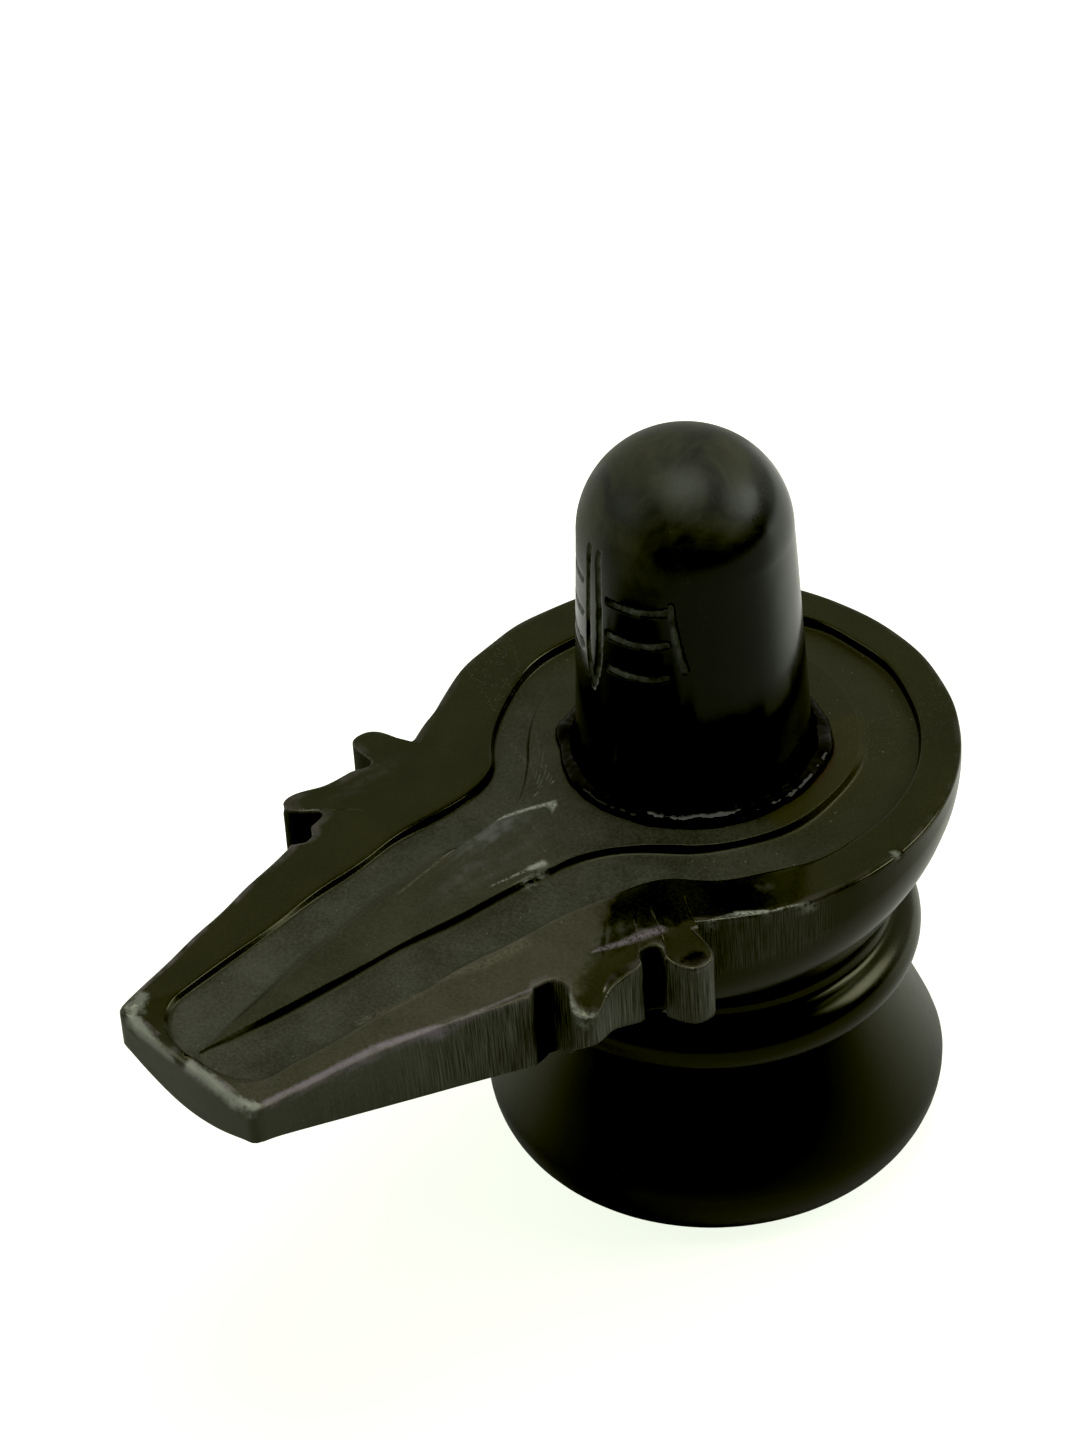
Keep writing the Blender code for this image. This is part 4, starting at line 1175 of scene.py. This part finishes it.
def shaft_tree(material, settings):
    """The shaft as a grid wrapped round the axis, with lines carved along the given edges."""
    tree, w, given = open_tree(
        "Carved shaft",
        {
            "Foot radius": SHAFT_FOOT_RADIUS,
            "Shoulder radius": settings.shoulder_radius,
            "Low level": SHAFT_LOW.z,
            "Curb level": PLATE_TOP - CURB_DROP,
            "Shoulder level": SHAFT_HIGH.z - settings.dome_height,
            "Dome height": settings.dome_height,
            "Line width": settings.groove_width,
            "Line depth": settings.groove_depth,
        },
    )
    grid = w.node("GeometryNodeMeshGrid", dict(enumerate((1.0, 1.0, *SHAFT_GRID))))
    across, up, _ = w.axes(w.place())
    turn = w.times(w.math("ADD", across, 0.5), 2 * math.pi)
    up = w.math("ADD", up, 0.5)
    disc = w.remap(up, 0.0, SHAFT_DISC_SHARE)
    side = w.remap(up, SHAFT_DISC_SHARE, SHAFT_SIDE_SHARE)
    dome = w.remap(up, SHAFT_SIDE_SHARE, 1.0, 0.0, math.pi / 2)
    low, curb, shoulder = given["Low level"], given["Curb level"], given["Shoulder level"]
    height = w.times(side, w.math("SUBTRACT", shoulder, low), low)
    radius = w.remap(height, curb, shoulder, given["Foot radius"], given["Shoulder radius"])
    closing = w.math("MAXIMUM", w.math("COSINE", dome), 0.0)
    radius = w.times(w.times(radius, disc), closing)
    height = w.times(w.math("SINE", dome), given["Dome height"], height)
    flat = (w.times(radius, w.math(part, turn)) for part in ("COSINE", "SINE"))
    wrapped = w.combined(*flat, height)
    wrapped = w.moved(grid["Mesh"], wrapped, "Position")
    closed = w.node("GeometryNodeMergeByDistance", {"Geometry": wrapped, "Distance": 0.00002})[0]
    worked = wander(w, closed, 0.00010, 0.009, 3.3)

    near = w.node("GeometryNodeProximity", {0: given["Geometry"]}, target_element="EDGES")
    half = w.times(given["Line width"], 0.5)
    ragged = w.noise(w.place(), 1400.0, detail=2.0)
    away = w.times(w.math("SUBTRACT", ragged, 0.5), 0.00035, near["Distance"])
    cut = w.remap(w.math("DIVIDE", away, half), 1.0, 0.25, smooth=True)
    held = {"Geometry": worked, "Name": "carved", "Value": cut}
    held = w.node("GeometryNodeStoreNamedAttribute", held, data_type="FLOAT", domain="POINT")[0]
    depth = w.times(w.times(cut, given["Line depth"]), -1.0)
    finish_tree(w, w.pushed(held, depth), material)
    return tree


def bead_tree(material, thickness):
    """The bead: a round section swept along the path it is given, as wide as the path says, pressed flat."""
    sizes = {"Thickness": thickness, "Flatness": BEAD_FLATNESS, "Level": PLATE_TOP}
    tree, w, given = open_tree("Squeezed bead", sizes)
    path = w.node("GeometryNodeMeshToCurve", {0: given["Geometry"]})[0]
    section = {"Resolution": BEAD_SECTION_STEPS, "Radius": given["Thickness"]}
    section = w.node("GeometryNodeCurvePrimitiveCircle", section)[0]
    lumps = w.remap(w.noise(w.place(), 210.0, detail=2.5), 0.3, 0.7, 0.86, 1.12)
    wide = w.node("GeometryNodeInputNamedAttribute", {"Name": "width"}, data_type="FLOAT")["Attribute"]
    swept = {"Curve": path, "Profile Curve": section, "Scale": w.times(lumps, wide)}
    swept = w.node("GeometryNodeCurveToMesh", swept)[0]
    x, y, z = w.axes(w.place())
    level = given["Level"]
    pressed = w.combined(x, y, w.times(w.math("SUBTRACT", z, level), given["Flatness"], level))
    worked = wander(w, w.moved(swept, pressed, "Position"), 0.00045, 0.0034, 8.2)
    finish_tree(w, worked, material)
    return tree


def grow(name, mesh, tree):
    """Runs a geometry tree on a mesh and keeps the result as a plain object at the origin."""
    seed = bpy.data.objects.new(name + "_plan", mesh)
    bpy.context.scene.collection.objects.link(seed)
    made = seed.modifiers.new("Carving", "NODES")
    made.node_group = tree
    for item in tree.interface.items_tree:
        if item.in_out == "INPUT" and item.socket_type == "NodeSocketFloat":
            made[item.identifier] = item.default_value
    bpy.context.view_layer.update()
    result = bpy.data.meshes.new_from_object(seed.evaluated_get(bpy.context.evaluated_depsgraph_get()))
    bpy.data.objects.remove(seed, do_unlink=True)
    result.name = name
    piece = bpy.data.objects.new(name, result)
    bpy.context.scene.collection.objects.link(piece)
    return piece


def belong(piece, node):
    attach(piece, "root")
    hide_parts(node)


def mark_path():
    """Down one side of the drop mark to its lower point and up the other side."""
    steps = 18
    rows = []
    for i in range(-steps, steps + 1):
        down = 1 - abs(i / steps) ** 1.5
        width = MARK_HALF_WIDTH * (0.52 + 0.28 * down) * (1 - down**6)
        rows.append((math.copysign(width, i), MARK_ABOVE_SHOULDER - MARK_LENGTH * down))
    return rows


def stripe_path(side, step):
    """One of the three level lines on a side, which turns up a little at its outer end."""
    middle = step * STRIPE_STEP - STRIPES_BELOW_SHOULDER
    return [
        (side * (STRIPE_START + STRIPE_LENGTH * share), middle + STRIPE_RISE * share**3)
        for share in shares(12)
    ]


def end_line_path(side):
    """The slanting line that closes the outer ends of the three."""
    top = END_LINE_ABOVE - STRIPES_BELOW_SHOULDER
    return [
        (side * (END_LINE_OUT + END_LINE_LEAN * share**1.5), top - END_LINE_HEIGHT * share)
        for share in shares(10)
    ]


def line_mesh(settings):
    """All carved lines as edges that lie on the shaft."""
    shoulder = SHAFT_HIGH.z - settings.dome_height
    curb = PLATE_TOP - CURB_DROP
    places, edges = [], []
    paths = [mark_path()]
    for side in (-1, 1):
        paths += [stripe_path(side, step) for step in (-1, 0, 1)] + [end_line_path(side)]
    for path in paths:
        for i, (distance, above) in enumerate(path):
            share = min(1.0, (shoulder + above - curb) / (shoulder - curb))
            radius = blend(SHAFT_FOOT_RADIUS, settings.shoulder_radius, share)
            if above > 0:
                radius *= math.sqrt(1 - (above / settings.dome_height) ** 2)
            turn = MARK_TURN + distance / radius
            if i:
                edges.append((len(places) - 1, len(places)))
            places.append((radius * math.cos(turn), radius * math.sin(turn), shoulder + above))
    mesh = bpy.data.meshes.new("carved lines")
    mesh.from_pydata(places, edges, [])
    return mesh


class LINGAM_OT_base(bpy.types.Operator):
    """Carves the foot, collar, plate, channel, lugs and spout from one stone."""

    bl_idname = "lingam.carve_base"
    bl_label = "Carve the base"

    def execute(self, context):
        sizes = context.scene.lingam_base
        right = edge_half(RIGHT_LUG_START, 0.0, 0.0)
        left = edge_half(LEFT_LUG_START, LEFT_LUG_FLARE, LEFT_LUG_EXTRA_WALL)
        around = whole(right, left)
        edge = hand_cut(around[:, :2], PLATE_SHIFT)
        under = hand_cut(whole(right[:, 4:6], left[:, 4:6]), PLATE_SHIFT)
        wall, drop, under_wall = eased(around[:, 2], 5), around[:, 3], around[:, 6]
        for place, half_width, depth in SLOTS:
            away = away_from(edge, place)
            edge = set_in(edge, depth * (1 - ramp(away, half_width * 0.7, half_width * 1.3)))
        arris = np.clip(sizes.arris * (1 + waver(edge, 0.4, 0.009, 2)), 0.0002, 0.0008)
        arris = arris + LIP_ARRIS * eased(np.minimum(1.0, drop / LIP_DROP * 2), 6)
        stack = Stack()
        stack_foot(stack)
        stack_collar(stack)
        stack_underside(stack, edge, wall, under, under_wall)
        rim_edge = stack_side_wall(stack, edge, wall, drop, arris)
        top_from = len(stack.loops)
        stack_top(stack, rim_edge, drop, sizes.channel_depth)

        mesh = mesh_of_stack("carved_base", stack)
        finish = np.array(stack.finish)
        for number, name in enumerate(FINISHES):
            store(mesh, name, finish[:, number])
        steps = np.linalg.norm(np.diff(edge, axis=0, append=edge[:1]), axis=1)
        along = np.concatenate(([0.0], np.cumsum(steps)[:-1]))
        store(mesh, "along", np.broadcast_to(along, (len(stack.loops), len(along))))
        rims = np.zeros((len(stack.loops), len(along)))
        rims[top_from - ARRIS_STEPS : top_from + 1] = 1.0
        store(mesh, "edge", rims)
        knock_about(mesh)

        stone = black_stone(shared_groups(), context.scene.lingam_finish, sizes.rasp_pitch)
        piece = grow("carved_base", mesh, handwork_tree(stone, sizes.hand_waver))
        belong(piece, "yoni_base")
        return {"FINISHED"}


class LINGAM_OT_shaft(bpy.types.Operator):
    """Turns the round-topped shaft and carves its lines."""

    bl_idname = "lingam.turn_shaft"
    bl_label = "Turn the shaft"

    def execute(self, context):
        settings = context.scene.lingam_shaft
        stone = shaft_stone(shared_groups(), context.scene.lingam_finish)
        piece = grow("carved_shaft", line_mesh(settings), shaft_tree(stone, settings))
        belong(piece, "lingam_shaft")
        return {"FINISHED"}


class LINGAM_OT_bead(bpy.types.Operator):
    """Lays the bead of setting compound round the foot of the shaft."""

    bl_idname = "lingam.lay_bead"
    bl_label = "Lay the bead"

    def execute(self, context):
        thickness = context.scene.lingam_shaft.bead_thickness
        turns = spread(-math.pi, math.pi, BEAD_STEPS)
        front = ramp(np.cos(turns - BEAD_FRONT), -0.35, 0.45)
        squeezed = np.exp(-(((turns - BEAD_SQUEEZE) / BEAD_SQUEEZE_SPREAD) ** 2))
        width = blend(0.62, 1.22, front) + 0.45 * squeezed
        ring = polar(SHAFT_FOOT_RADIUS + thickness * width * 0.85, turns)
        mesh = bpy.data.meshes.new("bead path")
        edges = [(i, (i + 1) % BEAD_STEPS) for i in range(BEAD_STEPS)]
        mesh.from_pydata([(*p, PLATE_TOP) for p in ring], edges, [])
        store(mesh, "width", width)
        gloss = compound_gloss(shared_groups(), context.scene.lingam_finish)
        piece = grow("setting_compound_bead", mesh, bead_tree(gloss, thickness))
        belong(piece, "setting_bead")
        return {"FINISHED"}


class LINGAM_OT_stage(bpy.types.Operator):
    """Sets up the pale table, the soft light and the camera."""

    bl_idname = "lingam.set_stage"
    bl_label = "Set the stage"

    def execute(self, context):
        settings = context.scene.lingam_stage
        self.lay_table(settings)
        self.hang_lights(context.scene, settings)
        self.place_camera(context.scene)
        return {"FINISHED"}

    def lay_table(self, settings):
        half = settings.table_width / 2
        mesh = bpy.data.meshes.new("table")
        corners = [(-half, -half, 0), (half, -half, 0), (half, half, 0), (-half, half, 0)]
        mesh.from_pydata(corners, [], [(0, 1, 2, 3)])
        material, w, place = new_material("Pale table")
        behind = w.along(place, VIEW_AWAY)
        tones = tinted(settings.table_colour, 0.5), settings.table_colour
        seen = w.node("ShaderNodeLightPath")["Is Camera Ray"]
        shader = material.node_tree.nodes["Principled BSDF"]
        # The table is painted half as bright towards the camera, a painted shade that only the stone's
        # reflections show, and behind the piece it glows a little, a painted light that the stone shows at
        # its edges
        for name, value in (
            ("Base Color", w.mix(w.remap(behind, -0.05, 0.05), *tones)),
            ("Roughness", 0.8),
            ("Specular IOR Level", 0.0),
            ("Emission Color", settings.table_glow),
            ("Emission Strength", w.math("MAXIMUM", seen, w.remap(behind, -0.02, 0.03, 0.0, 0.30))),
        ):
            w.put(value, shader.inputs[name])
        mesh.materials.append(material)
        table = bpy.data.objects.new("table", mesh)
        bpy.context.scene.collection.objects.link(table)

    def hang_lights(self, scene, settings):
        world = bpy.data.worlds.new("Surround")
        world.use_nodes = True
        scene.world = world
        w = Wiring(world.node_tree)
        shade = world.node_tree.nodes["Background"]
        facing = w.along(w.node("ShaderNodeTexCoord")["Generated"], VIEW_AWAY)
        tones = tinted(settings.light_colour, 0.02), settings.light_colour
        w.put(w.mix(w.remap(facing, -0.15, 0.55, smooth=True), *tones), shade.inputs["Color"])
        w.put(settings.surround, shade.inputs["Strength"])
        near, right, up = -VIEW_AWAY, VIEW_RIGHT, Vector((0.0, 0.0, 1.0))
        top = settings.top_light
        side = top * settings.side_share
        beside = near * 0.05 - right * 0.75 + up * 0.55
        lamps = (
            ("overhead lamp", (0.7, 0.6), near * 0.1 + up * 1.5, right * 0.0, top),
            ("right lamp", (0.5, 0.4), right * 0.75 + up * 0.55, right * 0.35, side),
            ("left lamp", (0.5, 0.4), beside, right * -0.25, side / 3),
        )
        for name, (width, depth), place, aim, power in lamps:
            lamp = bpy.data.lights.new(name, "AREA")
            lamp.shape = "RECTANGLE"
            lamp.size = width
            lamp.size_y = depth
            lamp.energy = power
            lamp.color = settings.light_colour
            hung = bpy.data.objects.new(name, lamp)
            scene.collection.objects.link(hung)
            hung.location = place
            hung.rotation_mode = "QUATERNION"
            hung.rotation_quaternion = (aim - place).to_track_quat("-Z", "Y")

    def place_camera(self, scene):
        back = Vector(
            (
                math.sin(VIEW_TURN) * math.cos(VIEW_HEIGHT),
                -math.cos(VIEW_TURN) * math.cos(VIEW_HEIGHT),
                math.sin(VIEW_HEIGHT),
            )
        )
        right = (-back).cross(Vector((0, 0, 1))).normalized()
        up = right.cross(-back)
        across = right * math.cos(VIEW_ROLL) + up * math.sin(VIEW_ROLL)
        upright = up * math.cos(VIEW_ROLL) - right * math.sin(VIEW_ROLL)
        camera = bpy.data.cameras.new("camera")
        camera.lens = VIEW_LENS
        camera.sensor_width = 36.0
        camera.clip_start = 0.01
        camera.clip_end = 50.0
        holder = bpy.data.objects.new("camera", camera)
        scene.collection.objects.link(holder)
        turn = Matrix((across, upright, back)).transposed()
        holder.matrix_world = Matrix.Translation(VIEW_FROM) @ turn.to_4x4()
        scene.camera = holder
        scene.view_settings.view_transform = "Standard"
        scene.view_settings.use_curve_mapping = True
        scene.view_settings.curve_mapping.black_level = BLACK_LEVEL
        scene.view_settings.curve_mapping.update()


class LINGAM_PT_panel(bpy.types.Panel):
    """Lists the pieces and their sizes in the sidebar."""

    bl_idname = "LINGAM_PT_panel"
    bl_label = "Stone lingam"
    bl_space_type = "VIEW_3D"
    bl_region_type = "UI"
    bl_category = "Lingam"

    def draw(self, context):
        for operator, group in PARTS:
            self.layout.operator(operator)
            settings = getattr(context.scene, group)
            for name in settings.__annotations__:
                self.layout.prop(settings, name)


PARTS = (
    ("lingam.carve_base", "lingam_base"),
    ("lingam.turn_shaft", "lingam_shaft"),
    ("lingam.lay_bead", "lingam_finish"),
    ("lingam.set_stage", "lingam_stage"),
)
GROUPS = (
    ("lingam_base", BaseSettings),
    ("lingam_shaft", ShaftSettings),
    ("lingam_finish", FinishSettings),
    ("lingam_stage", StageSettings),
)
CLASSES = (
    BaseSettings, ShaftSettings, FinishSettings, StageSettings, LINGAM_OT_base, LINGAM_OT_shaft,
    LINGAM_OT_bead, LINGAM_OT_stage, LINGAM_PT_panel,
)


def register():
    for made in CLASSES:
        bpy.utils.register_class(made)
    for name, group in GROUPS:
        setattr(bpy.types.Scene, name, bpy.props.PointerProperty(type=group))


def unregister():
    for name, _ in GROUPS:
        delattr(bpy.types.Scene, name)
    for made in reversed(CLASSES):
        bpy.utils.unregister_class(made)


def main():
    register()
    bpy.ops.lingam.carve_base()
    bpy.ops.lingam.turn_shaft()
    bpy.ops.lingam.lay_bead()
    bpy.ops.lingam.set_stage()


if __name__ == "__main__":
    main()
